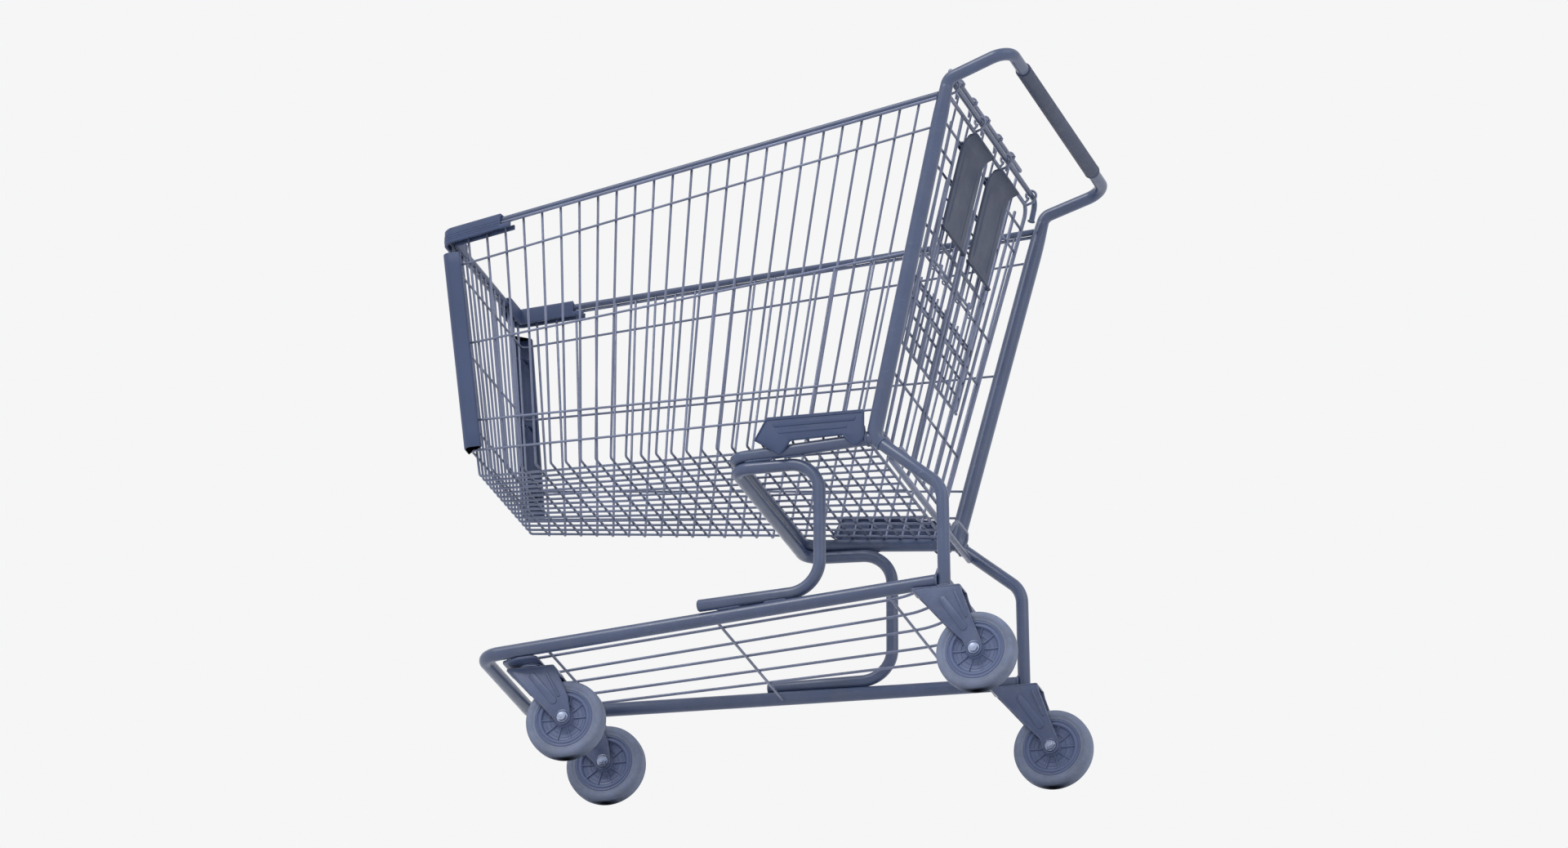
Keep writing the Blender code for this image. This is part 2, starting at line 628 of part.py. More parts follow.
for side, s in (("left", 1), ("right", -1)):
    # rear: fixed fork pressed from plate, welded under the leg and the tray rail
    wx, wy, wz = REAR_WHEEL
    cx = s * wx
    half, t = 17.5, 3.0
    outline = [(-101, 171.7), (-21, 171.7), (-18, 158), (-2, 111), (9, 83), (13, 70), (11, 57), (1, 50.5), (-9, 53),
               (-14, 62), (-17, 76), (-42, 103), (-87, 156)]
    bm = bmesh.new()
    side_plate(bm, outline, cx + half, t)
    fork = finish("caster_fork_rear_" + side, bm, FORK, smooth=False)
    bm = bmesh.new()
    side_plate(bm, outline, cx - half, -t)
    boolean(fork, bm, "UNION")
    bm = bmesh.new()
    side_plate(bm, [(-100.5, 171.9), (-21.4, 171.9), (-21.2, 168.6), (-98.0, 168.6)], cx - half - t * 0.9, 2 * half + 1.8 * t)
    boolean(fork, bm, "UNION")
    for sx in (-1, 1):
        bm = bmesh.new()
        lathe_c = pt(cx + sx * (half + t / 2), wy, wz)
        rod_x(bm, lathe_c, [(-4, 5.1), (4, 5.1)], 12, math.radians(15))
        boolean(fork, bm, "DIFFERENCE")
    wheel("rear_" + side, (cx, wy, wz))
    axle("rear_" + side, (cx, wy, wz), half + t, s)

    # front: pad under the tray corner, king bolt, race, swivelling fork
    fx, fy, fz = FRONT_WHEEL
    cx = s * fx
    bm = bmesh.new()
    pad = [(86, -797), (140, -797), (151, -770), (154, -737), (86, -737)]
    z0 = 158.2
    prism(bm, [pt(s * x, y, z0) for x, y in pad], (0, 0, 0.004))
    padob = finish("caster_pad_" + side, bm, FORK, smooth=False)
    bm = bmesh.new()
    rod_z(bm, pt(cx, SWIVEL_Y, 152), [(-8, 6.4), (20, 6.4)], 12)
    boolean(padob, bm, "DIFFERENCE")
    bm = bmesh.new()
    king = [(142.4 - 158.2, 9.5), (148.6 - 158.2, 9.5), (148.6 - 158.2, 6.0), (163.0 - 158.2, 6.0),
            (163.0 - 158.2, 9.5), (168.5 - 158.2, 9.0)]
    rod_z(bm, pt(cx, SWIVEL_Y, z0), king, 12)
    finish("king_bolt_" + side, bm, BOLT, origin=pt(cx, SWIVEL_Y, z0))
    bm = bmesh.new()
    ring_z(bm, pt(cx, SWIVEL_Y, 0), [(153.4, 6.5), (153.4, 21.0), (157.8, 21.0), (157.8, 6.5)], 16)
    finish("swivel_race_" + side, bm, BOLT, origin=pt(cx, SWIVEL_Y, 155))
    outline = [(-795, 153.0), (-719, 153.0), (-712, 146), (-692, 98), (-688.5, 70), (-691, 57), (-700, 50.5),
               (-710, 53), (-717, 64), (-739, 89)]
    bm = bmesh.new()
    side_plate(bm, outline, cx + half, t)
    fork = finish("caster_fork_front_" + side, bm, FORK, origin=pt(cx, SWIVEL_Y, 153), smooth=False)
    bm = bmesh.new()
    side_plate(bm, outline, cx - half, -t)
    boolean(fork, bm, "UNION")
    bm = bmesh.new()
    side_plate(bm, [(-794, 152.9), (-718.6, 152.9), (-714.5, 149.2), (-791.5, 149.2)], cx - half - t * 0.9,
               2 * half + 1.8 * t)
    boolean(fork, bm, "UNION")
    bm = bmesh.new()
    rod_z(bm, pt(cx, SWIVEL_Y, 150), [(-8, 6.5), (10, 6.5)], 12)
    boolean(fork, bm, "DIFFERENCE")
    for sx in (-1, 1):
        bm = bmesh.new()
        rod_x(bm, pt(cx + sx * (half + t / 2), fy, fz), [(-4, 5.1), (4, 5.1)], 12, math.radians(15))
        boolean(fork, bm, "DIFFERENCE")
    wheel("front_" + side, (cx, fy, fz))
    axle("front_" + side, (cx, fy, fz), half + t, s)
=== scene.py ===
"""Looks of the rolling basket trolley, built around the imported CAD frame.

Stations are in millimetres with y measured from the rear axle line, as in the
CAD design, and pt() moves them into the frame, whose rear axle line comes from
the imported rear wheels.
"""
import bpy
import math
import numpy as np
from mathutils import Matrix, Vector


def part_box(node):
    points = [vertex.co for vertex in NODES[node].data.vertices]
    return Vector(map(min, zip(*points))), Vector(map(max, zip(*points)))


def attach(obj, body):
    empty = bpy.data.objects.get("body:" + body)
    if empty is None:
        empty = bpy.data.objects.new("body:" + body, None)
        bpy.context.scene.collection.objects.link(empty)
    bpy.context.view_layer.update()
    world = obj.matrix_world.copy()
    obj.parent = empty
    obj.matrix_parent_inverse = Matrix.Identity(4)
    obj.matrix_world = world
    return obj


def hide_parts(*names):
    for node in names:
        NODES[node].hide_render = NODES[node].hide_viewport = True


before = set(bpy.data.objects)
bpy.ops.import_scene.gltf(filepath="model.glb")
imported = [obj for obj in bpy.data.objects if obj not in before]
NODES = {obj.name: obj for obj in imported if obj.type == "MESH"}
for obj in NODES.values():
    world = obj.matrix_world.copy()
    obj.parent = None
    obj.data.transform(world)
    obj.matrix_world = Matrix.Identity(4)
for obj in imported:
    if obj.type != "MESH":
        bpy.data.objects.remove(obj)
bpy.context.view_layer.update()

_lo, _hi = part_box("tyre_rear_left")
AXLE_Y = (_lo.y + _hi.y) / 2.0 * 1000.0
WHEEL_R = (_hi.z - _lo.z) / 2.0 * 1000.0
_lo, _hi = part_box("handle_tube")
HANDLE_REACH = _hi.x * 1000.0

# design stations, as in the CAD
UPRIGHT_R, HANDLE_R, GRIP_R, LEG_R, BASE_R, SUPPORT_R, TRAY_R = 12.5, 10.0, 12.5, 10.0, 10.0, 9.75, 11.0
UPRIGHT_TOP = (294.4, -27.1, 988.0)
SHOULDER = (295.6, -24.0, 1001.0)
HANDLE = (301.0, 77.0, 1037.0)
ELBOW = (244.6, -161.0, 430.4)
LEG_BEND = (240.0, -52.0, 340.0)
LEG_FOOT = (240.7, -49.4, 172.4)
BASE_CORNER = (201.0, -401.0, 438.0)
BASE_END = (245.0, -158.4, 430.3)
SUPPORT_TOP_CORNER = (205.0, -399.0, 417.6)
SUPPORT_KNEE = (212.0, -258.0, 412.4)
SUPPORT_FOOT = (211.0, -258.0, 201.5)
SUPPORT_END = (197.0, -457.0, 199.4)
TRAY_CORNER = (139.6, -831.6, 173.3)
TRAY_REAR = (240.9, -60.2, 183.9)
RIM_CORNER = (180.8, -878.5, 878.3)
RIM_REAR = (296.1, -29.6, 977.7)
FLOOR_FRONT = (153.5, -840.6, 484.4)
FLOOR_REAR = (238.8, -172.0, 438.3)
BELTS = (0.11, 0.46, 0.79, 0.912)
REAR_WHEEL = (232.5, 0.0, 63.5)
FRONT_WHEEL = (108.5, -700.8, 63.5)
SWIVEL_Y = -757.0
GATE_HINGE = (-30.0, 1016.0)
GATE_SLOPE, GATE_Y0 = 0.2409, -37.0
SEAT_HINGE_Z, SEAT_DEPTH, FLAP_Z = 765.0, 150.0, 962.0


def V(*p):
    return np.array(p, float)


def pt(x, y, z):
    return np.array((x, y + AXLE_Y, z), float) * 0.001


def lerp(a, b, t):
    return tuple(p + (q - p) * t for p, q in zip(a, b))


def unit(v):
    v = np.asarray(v, float)
    return v / np.linalg.norm(v)


def gate_y(z):
    return GATE_Y0 - GATE_SLOPE * (GATE_HINGE[1] - z)


def back_y(z):
    return -42.0 - 0.245 * (1052.0 - z)


# ------------------------------------------------------------------ materials
def colour(r, g, b):
    """sRGB bytes to the linear values that the shader takes."""
    return tuple(((c / 255.0) / 12.92 if c <= 10 else ((c / 255.0 + 0.055) / 1.055) ** 2.4) for c in (r, g, b))


class Nodes:
    """Short hand for wiring one material."""

    def __init__(self, name):
        self.m = bpy.data.materials.new(name)
        self.m.use_nodes = True
        self.t = self.m.node_tree
        self.b = self.t.nodes["Principled BSDF"]
        self.co = self.new("ShaderNodeTexCoord").outputs["Object"]

    def new(self, kind, **kw):
        n = self.t.nodes.new(kind)
        for k, v in kw.items():
            setattr(n, k, v)
        return n

    def link(self, a, b):
        self.t.links.new(a, b)

    def put(self, socket, value):
        if hasattr(value, "is_output") or isinstance(value, bpy.types.NodeSocket):
            self.link(value, socket)
        else:
            socket.default_value = value

    def scaled(self, s):
        n = self.new("ShaderNodeMapping")
        self.link(self.co, n.inputs["Vector"])
        n.inputs["Scale"].default_value = s
        return n.outputs["Vector"]

    def noise(self, scale, detail=3.0, rough=0.55, vec=None, dist=0.0):
        n = self.new("ShaderNodeTexNoise")
        self.link(vec if vec is not None else self.co, n.inputs["Vector"])
        n.inputs["Scale"].default_value = scale
        n.inputs["Detail"].default_value = detail
        n.inputs["Roughness"].default_value = rough
        n.inputs["Distortion"].default_value = dist
        return n.outputs["Fac"]

    def cells(self, scale, vec=None, feature="F1"):
        n = self.new("ShaderNodeTexVoronoi", feature=feature)
        self.link(vec if vec is not None else self.co, n.inputs["Vector"])
        n.inputs["Scale"].default_value = scale
        return n.outputs["Distance"]

    def ramp(self, fac, a, b, lo=0.0, hi=1.0):
        n = self.new("ShaderNodeMapRange", clamp=True)
        self.put(n.inputs["Value"], fac)
        n.inputs["From Min"].default_value, n.inputs["From Max"].default_value = a, b
        n.inputs["To Min"].default_value, n.inputs["To Max"].default_value = lo, hi
        return n.outputs["Result"]

    def math(self, op, a, b=0.0, clamp=False):
        n = self.new("ShaderNodeMath", operation=op, use_clamp=clamp)
        self.put(n.inputs[0], a)
        self.put(n.inputs[1], b)
        return n.outputs[0]

    def mix(self, fac, a, b, blend="MIX"):
        n = self.new("ShaderNodeMix", data_type="RGBA", blend_type=blend)
        self.put(n.inputs[0], fac)
        for s, v in ((n.inputs[6], a), (n.inputs[7], b)):
            if isinstance(v, tuple):
                s.default_value = (*v, 1.0) if len(v) == 3 else v
            else:
                self.link(v, s)
        return n.outputs[2]

    def bump(self, height, strength, distance, normal=None):
        n = self.new("ShaderNodeBump")
        n.inputs["Strength"].default_value = strength
        n.inputs["Distance"].default_value = distance
        self.link(height, n.inputs["Height"])
        if normal is not None:
            self.link(normal, n.inputs["Normal"])
        return n.outputs["Normal"]

    def edge(self, radius, lo=0.02, hi=0.25):
        """1 on worn convex or concave edges, 0 on flats."""
        bev = self.new("ShaderNodeBevel", samples=3)
        bev.inputs["Radius"].default_value = radius
        geo = self.new("ShaderNodeNewGeometry")
        dot = self.new("ShaderNodeVectorMath", operation="DOT_PRODUCT")
        self.link(bev.outputs["Normal"], dot.inputs[0])
        self.link(geo.outputs["Normal"], dot.inputs[1])
        return self.ramp(self.math("SUBTRACT", 1.0, dot.outputs["Value"]), lo, hi)

    def done(self, base, rough, metal, normal, coat=0.0, coat_rough=0.2, spec=0.5, sheen=0.0):
        b = self.b.inputs
        self.put(b["Base Color"], base)
        self.put(b["Roughness"], rough)
        self.put(b["Metallic"], metal)
        self.link(normal, b["Normal"])
        b["Coat Weight"].default_value = coat
        b["Coat Roughness"].default_value = coat_rough
        b["Specular IOR Level"].default_value = spec
        if sheen:
            b["Sheen Weight"].default_value = sheen
        return self.m


def shade(c, k):
    return tuple(min(1.0, v * k) for v in c)


def powder_coat(name, c, worn, rough=0.36, metal=0.0, dust=0.05, edge_r=0.0):
    """Baked powder coat: slow tone drift, orange peel, fine flecks, scuffs and rubbed spots."""
    n = Nodes(name)
    drift = n.noise(7.0, 4.0, 0.6)
    base = n.mix(n.ramp(drift, 0.32, 0.70), shade(c, 0.87), shade(c, 1.12))
    cloud = n.noise(38.0, 5.0, 0.62, dist=0.4)
    base = n.mix(n.ramp(cloud, 0.48, 0.78, 0.0, 0.34), base, shade(c, 1.32))
    fleck = n.noise(1500.0, 2.0, 0.5)
    base = n.mix(n.ramp(fleck, 0.60, 0.72, 0.0, 0.22), base, shade(c, 1.9))
    # long rubs along the trolley, where carts nest and slide past each other
    rub_v = n.scaled((30.0, 4.0, 30.0))
    rub = n.noise(6.0, 6.0, 0.72, vec=rub_v)
    rubmask = n.math("MULTIPLY", n.ramp(rub, 0.60, 0.70), n.ramp(n.noise(11.0, 3.0), 0.47, 0.60))
    base = n.mix(n.math("MULTIPLY", rubmask, 0.38), base, worn)
    # dust that settles in low, sheltered places
    grime = n.ramp(n.noise(23.0, 6.0, 0.68), 0.50, 0.80, 0.0, dust * 3.0)
    base = n.mix(grime, base, (0.17, 0.165, 0.16))
    if edge_r:
        e = n.math("MULTIPLY", n.edge(edge_r), n.ramp(n.noise(90.0, 4.0), 0.38, 0.62, 0.25, 1.0))
        base = n.mix(n.math("MULTIPLY", e, 0.55), base, worn)
    peel = n.noise(420.0, 2.0, 0.45)
    fine = n.noise(2400.0, 2.0, 0.5)
    normal = n.bump(fine, 0.10, 0.00010, n.bump(peel, 0.32, 0.00030))
    r = n.math("ADD", n.ramp(cloud, 0.3, 0.75, rough - 0.06, rough + 0.09), n.math("MULTIPLY", rubmask, 0.16))
    return n.done(base, r, metal, normal, coat=0.18, coat_rough=0.28)


def plated_wire(name, c, rough=0.34, metal=0.75):
    """Clear-coated drawn wire: drawing lines along the strand, tarnish and tiny pits."""
    n = Nodes(name)
    drift = n.noise(9.0, 4.0, 0.6)
    base = n.mix(n.ramp(drift, 0.34, 0.68), shade(c, 0.80), shade(c, 1.16))
    spots = n.noise(150.0, 4.0, 0.66)
    base = n.mix(n.ramp(spots, 0.55, 0.80, 0.0, 0.55), base, shade(c, 0.58))
    pits = n.cells(900.0)
    base = n.mix(n.ramp(pits, 0.0, 0.18, 0.30, 0.0), base, shade(c, 0.5))
    bright = n.noise(34.0, 5.0, 0.7)
    base = n.mix(n.ramp(bright, 0.58, 0.76, 0.0, 0.35), base, shade(c, 1.45))
    rough_v = n.ramp(spots, 0.35, 0.75, rough - 0.07, rough + 0.16)
    normal = n.bump(n.noise(1300.0, 3.0, 0.6), 0.22, 0.00012, n.bump(n.noise(260.0, 2.0), 0.12, 0.0003))
    return n.done(base, rough_v, metal, normal, coat=0.12, coat_rough=0.35)


def moulded(name, c, worn, rough=0.50, grain=0.45, edge_r=0.0012):
    """Injection moulded plastic: spark-eroded grain, flow bands, rubbed edges and light scratches."""
    n = Nodes(name)
    drift = n.noise(6.0, 3.0, 0.5, dist=0.8)
    base = n.mix(n.ramp(drift, 0.30, 0.72), shade(c, 0.90), shade(c, 1.10))
    hand = n.noise(26.0, 5.0, 0.65)
    base = n.mix(n.ramp(hand, 0.52, 0.78, 0.0, 0.30), base, shade(c, 1.28))
    e = n.math("MULTIPLY", n.edge(edge_r), n.ramp(n.noise(120.0, 4.0), 0.34, 0.66, 0.2, 1.0))
    base = n.mix(n.math("MULTIPLY", e, 0.42), base, worn)
    scr_v = n.scaled((160.0, 14.0, 26.0))
    scr = n.noise(7.0, 5.0, 0.75, vec=scr_v, dist=0.6)
    scratch = n.math("MULTIPLY", n.ramp(scr, 0.655, 0.70), n.ramp(n.noise(13.0, 3.0), 0.48, 0.60))
    base = n.mix(n.math("MULTIPLY", scratch, 0.40), base, worn)
    cells = n.cells(1150.0)
    grain_h = n.math("ADD", cells, n.noise(2100.0, 3.0, 0.6))
    normal = n.bump(n.math("ADD", n.math("MULTIPLY", scratch, -0.5), grain_h), grain, 0.00022,
                    n.bump(n.noise(55.0, 2.0), 0.10, 0.0008))
    r = n.math("ADD", n.ramp(hand, 0.3, 0.75, rough - 0.06, rough + 0.10), n.math("MULTIPLY", scratch, 0.12))
    return n.done(base, r, 0.0, normal, spec=0.42)


def rubber(name, c):
    """Non-marking polyurethane tread: fine pores, floor dust and turned-on scuff rings."""
    n = Nodes(name)
    drift = n.noise(22.0, 5.0, 0.66)
    base = n.mix(n.ramp(drift, 0.34, 0.70), shade(c, 0.84), shade(c, 1.18))
    dust = n.noise(85.0, 6.0, 0.74, dist=0.5)
    base = n.mix(n.ramp(dust, 0.46, 0.74, 0.0, 0.42), base, (0.22, 0.23, 0.26))
    nick = n.cells(420.0)
    base = n.mix(n.ramp(nick, 0.0, 0.14, 0.35, 0.0), base, shade(c, 0.5))
    normal = n.bump(n.noise(1700.0, 3.0, 0.62), 0.45, 0.00022, n.bump(n.noise(210.0, 4.0, 0.7), 0.22, 0.0004))
    return n.done(base, n.ramp(dust, 0.3, 0.7, 0.58, 0.80), 0.0, normal, spec=0.35)


def zinc(name, c, rough=0.30):
    """Bright zinc fasteners: passivation tint, spangle and handling marks."""
    n = Nodes(name)
    tint = n.noise(60.0, 4.0, 0.6, dist=1.2)
    base = n.mix(n.ramp(tint, 0.32, 0.70), shade(c, 0.80), tuple(min(1.0, v * k) for v, k in zip(c, (1.12, 1.18, 1.30))))
    spang = n.cells(500.0)
    base = n.mix(n.ramp(spang, 0.05, 0.55, 0.25, 0.0), base, shade(c, 1.5))
    stain = n.noise(180.0, 6.0, 0.75)
    base = n.mix(n.ramp(stain, 0.56, 0.76, 0.0, 0.55), base, shade(c, 0.42))
    normal = n.bump(n.noise(900.0, 3.0, 0.6), 0.28, 0.00012)
    return n.done(base, n.ramp(stain, 0.3, 0.72, rough - 0.08, rough + 0.22), 0.85, normal)


BLUE = colour(84, 101, 140)
WORN = colour(128, 138, 160)
MAT = {
    "tube_coat": powder_coat("tube_powder_coat", colour(60, 73, 103), WORN, rough=0.36),
    "wire_coat": plated_wire("basket_wire_finish", colour(101, 109, 134), rough=0.40, metal=0.35),
    "plastic": moulded("guard_plastic", colour(49, 64, 98), colour(84, 98, 130), rough=0.50),
    "flap": moulded("seat_flap_plastic", colour(38, 50, 77), colour(70, 82, 110), rough=0.47, grain=0.38),
    "grip": moulded("handle_grip_plastic", colour(52, 61, 86), colour(80, 91, 118), rough=0.56, grain=0.65,
                    edge_r=0.0008),
    "caster_coat": powder_coat("caster_fork_coat", colour(63, 75, 106), WORN, rough=0.33, metal=0.15, dust=0.09,
                               edge_r=0.0009),
    "zinc": zinc("bright_zinc", colour(150, 158, 178)),
    "tread": rubber("caster_tread", colour(100, 110, 134)),
    "hub": moulded("caster_hub_plastic", colour(80, 92, 125), colour(118, 132, 163), rough=0.44, grain=0.30,
                   edge_r=0.0006),
    "weld": powder_coat("painted_weld_bead", colour(66, 79, 109), WORN, rough=0.40),
    "plug": moulded("tube_plug_plastic", colour(52, 62, 90), colour(90, 102, 132), rough=0.55, edge_r=0.0006),
}


# --------------------------------------------------------------- mesh helpers
class Shape:
    """Vertices and faces of one piece, gathered form by form, in metres."""

    def __init__(self):
        self.v, self.f, self.n = [], [], 0

    def add(self, v, f):
        v = np.asarray(v, float).reshape(-1, 3)
        self.v.append(v)
        n = self.n
        self.f.extend(tuple(i + n for i in q) for q in f)
        self.n += len(v)
        return self

    def mirrored(self):
        """A copy reflected in the plane X = 0."""
        s = Shape()
        v = np.concatenate(self.v).copy()
        v[:, 0] *= -1
        s.add(v, [q[::-1] for q in self.f])
        return s


PIECES = {}


def piece(name, shape, mat, body, replaces=(), angle=38.0, smooth=True):
    """Makes the named object, rides it on its body and hides the CAD nodes it stands for."""
    me = bpy.data.meshes.new(name)
    me.from_pydata([tuple(p) for p in np.concatenate(shape.v)], [], shape.f)
    me.validate()
    me.update()
    me.materials.append(MAT[mat])
    if smooth:
        me.shade_smooth()
        me.set_sharp_from_angle(angle=math.radians(angle))
    ob = bpy.data.objects.new(name, me)
    bpy.context.scene.collection.objects.link(ob)
    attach(ob, body)
    if replaces:
        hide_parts(*replaces)
    PIECES[name] = ob
    return ob


def rounded(points, radii, seg=10):
    """Polyline whose inner corners are arcs of the given radii (same unit as the points)."""
    P = [np.array(p, float) for p in points]
    out = [P[0]]
    for i in range(1, len(P) - 1):
        r = radii[i - 1] if hasattr(radii, "__len__") else radii
        a, b, c = P[i - 1], P[i], P[i + 1]
        u, v = unit(a - b), unit(c - b)
        ang = math.acos(max(-1.0, min(1.0, float(u @ v))))
        if ang > math.pi - 0.02 or r <= 0:
            out.append(b)
            continue
        cut = r / math.tan(ang / 2)
        s, e = b + u * cut, b + v * cut
        centre = b + unit(u + v) * (r / math.sin(ang / 2))
        s0, e0 = s - centre, e - centre
        sweep = math.pi - ang
        ax = unit(np.cross(s0, e0))
        for k in range(seg + 1):
            t = sweep * k / seg
            out.append(centre + s0 * math.cos(t) + np.cross(ax, s0) * math.sin(t) + ax * (ax @ s0) * (1 - math.cos(t)))
    out.append(P[-1])
    keep = [out[0]]
    for p in out[1:]:
        if np.linalg.norm(p - keep[-1]) > 1e-7:
            keep.append(p)
    return keep


def smooth_path(points, per=6, closed=False):
    """Centripetal-like Catmull-Rom curve through the points."""
    P = [np.array(p, float) for p in points]
    n = len(P)
    out = []
    rng = range(n) if closed else range(n - 1)
    for i in rng:
        p0 = P[(i - 1) % n] if (closed or i > 0) else 2 * P[0] - P[1]
        p1, p2 = P[i % n], P[(i + 1) % n]
        p3 = P[(i + 2) % n] if (closed or i < n - 2) else 2 * P[-1] - P[-2]
        for k in range(per):
            t = k / per
            out.append(0.5 * ((2 * p1) + (p2 - p0) * t + (2 * p0 - 5 * p1 + 4 * p2 - p3) * t * t
                              + (3 * p1 - p0 - 3 * p2 + p3) * t ** 3))
    if not closed:
        out.append(P[-1])
    return out


def mm(points):
    return [pt(*p) for p in points]


def path_frames(P, closed=False, first=None):
    """Tangents and a side vector that doesn't twist, for each point of a path."""
    P = np.array(P, float)
    n = len(P)
    T = np.zeros_like(P)
    for i in range(n):
        a = P[(i - 1) % n] if (closed or i > 0) else P[i]
        b = P[(i + 1) % n] if (closed or i < n - 1) else P[i]
        c = P[i]
        u = (c - a) / max(np.linalg.norm(c - a), 1e-12)
        v = (b - c) / max(np.linalg.norm(b - c), 1e-12)
        T[i] = unit(u + v)
    s = np.array(first, float) if first is not None else np.cross(T[0], unit((0.123, 0.456, 0.881)))
    S = np.zeros_like(P)
    for i in range(n):
        s = s - T[i] * (s @ T[i])
        s = s / np.linalg.norm(s)
        S[i] = s
    return P, T, S


def sweep(sh, P, r, sides=12, cap=("dome", "dome"), closed=False):
    """Round bar of radius r (metres, or one per point) along a path, with shaped ends."""
    P, T, S = path_frames(P, closed)
    n = len(P)
    R = np.full(n, r, float) if np.isscalar(r) else np.array(r, float)
    rings = [(P[i], T[i], S[i], R[i]) for i in range(n)]
    if not closed:
        for end in (0, 1):
            kind = cap[end]
            p, t, s, q = rings[0] if end == 0 else rings[-1]
            out = -t if end == 0 else t
            extra = []
            if kind == "dome":
                steps = 3 if q < 0.004 else 5
                for k in range(1, steps):
                    a = math.pi / 2 * k / steps
                    extra.append((p + out * q * math.sin(a) * 0.75, t, s, q * math.cos(a)))
            elif kind == "cut":
                b = min(0.0009, q * 0.25)
                for k in (1, 2):
                    a = math.pi / 2 * k / 2
                    extra.append((p + out * b * math.sin(a), t, s, q - b + b * math.cos(a)))
            rings = extra[::-1] + rings if end == 0 else rings + extra
    ang = np.arange(sides) * 2 * math.pi / sides
    ca, sa = np.cos(ang)[:, None], np.sin(ang)[:, None]
    verts = [p + (ca * s + sa * np.cross(t, s)) * q for p, t, s, q in rings]
    m = len(rings)
    faces = []
    for i in range(m if closed else m - 1):
        a, b = i * sides, ((i + 1) % m) * sides
        for j in range(sides):
            k = (j + 1) % sides
            faces.append((a + j, a + k, b + k, b + j))
    if not closed:
        faces.append(tuple(range(sides))[::-1])
        faces.append(tuple((m - 1) * sides + j for j in range(sides)))
    return sh.add(np.concatenate(verts), faces)


def axis_frame(axis):
    a = unit(axis)
    s = unit(np.cross(a, (0.0, 0.0, 1.0))) if abs(a[2]) < 0.9 else unit(np.cross(a, (1.0, 0.0, 0.0)))
    return a, s, np.cross(a, s)


def turned(sh, centre, axis, profile, sides=48, closed=False, phase=0.0):
    """Body turned about an axis. profile: (along, radius) in millimetres; open profiles end on the axis or get a flat end."""
    c = np.array(centre, float)
    a, s, u = axis_frame(axis)
    ang = phase + np.arange(sides) * 2 * math.pi / sides
    ring = np.cos(ang)[:, None] * s + np.sin(ang)[:, None] * u
    verts = [c + a * (x * 0.001) + ring * (r * 0.001) for x, r in profile]
    m = len(profile)
    faces = []
    for i in range(m if closed else m - 1):
        p, q = i * sides, ((i + 1) % m) * sides
        for j in range(sides):
            k = (j + 1) % sides
            faces.append((p + j, q + j, q + k, p + k))
    if not closed:
        faces.append(tuple(range(sides)))
        faces.append(tuple((m - 1) * sides + j for j in range(sides))[::-1])
    area = sum(profile[i][0] * profile[(i + 1) % m][1] - profile[(i + 1) % m][0] * profile[i][1] for i in range(m))
    forward = (profile[-1][0] > profile[0][0]) if not closed else (area < 0)
    if forward:
        faces = [f[::-1] for f in faces]
    return sh.add(np.concatenate(verts), faces)


def fillet2d(poly, r, seg=5):
    """Closed polygon with each corner rounded; r is one radius or one per corner."""
    P = [np.array(p, float) for p in poly]
    n = len(P)
    out = []
    for i in range(n):
        rr = r[i] if hasattr(r, "__len__") else r
        a, b, c = P[i - 1], P[i], P[(i + 1) % n]
        u, v = unit(a - b), unit(c - b)
        ang = math.acos(max(-1.0, min(1.0, float(u @ v))))
        if rr <= 0 or ang > math.pi - 0.03:
            out.append(b)
            continue
        cut = min(rr / math.tan(ang / 2), 0.48 * np.linalg.norm(a - b), 0.48 * np.linalg.norm(c - b))
        rr = cut * math.tan(ang / 2)
        s, e = b + u * cut, b + v * cut
        centre = b + unit(u + v) * (rr / math.sin(ang / 2))
        s0, e0 = s - centre, e - centre
        sw = math.pi - ang
        sign = 1.0 if s0[0] * e0[1] - s0[1] * e0[0] > 0 else -1.0
        for k in range(seg + 1):
            t = sign * sw * k / seg
            out.append(centre + np.array((s0[0] * math.cos(t) - s0[1] * math.sin(t),
                                          s0[0] * math.sin(t) + s0[1] * math.cos(t))))
    return out


def area2d(P):
    return 0.5 * sum(P[i - 1][0] * P[i][1] - P[i][0] * P[i - 1][1] for i in range(len(P)))


def inset2d(P, d):
    """Each point of a closed polygon moved inwards by d along its corner's bisector."""
    P = [np.array(p, float) for p in P]
    sgn = 1.0 if area2d(P) > 0 else -1.0
    n, out = len(P), []
    for i in range(n):
        e1, e2 = unit(P[i] - P[i - 1]), unit(P[(i + 1) % n] - P[i])
        n1, n2 = np.array((-e1[1], e1[0])) * sgn, np.array((-e2[1], e2[0])) * sgn
        b = n1 + n2
        k = float(b @ b)
        b = n1 if k < 1e-6 else b * (2.0 / k)
        if np.linalg.norm(b) > 2.0:
            b = b / np.linalg.norm(b) * 2.0
        out.append(P[i] + b * d)
    return out


def outward(verts, faces):
    """The faces, turned round if they make an inside-out body."""
    V3 = np.asarray(verts, float)
    c = V3.mean(0)
    vol = 0.0
    for f in faces:
        p = V3[list(f)] - c
        for k in range(1, len(f) - 1):
            vol += float(np.dot(p[0], np.cross(p[k], p[k + 1])))
    return [f[::-1] for f in faces] if vol < 0 else faces


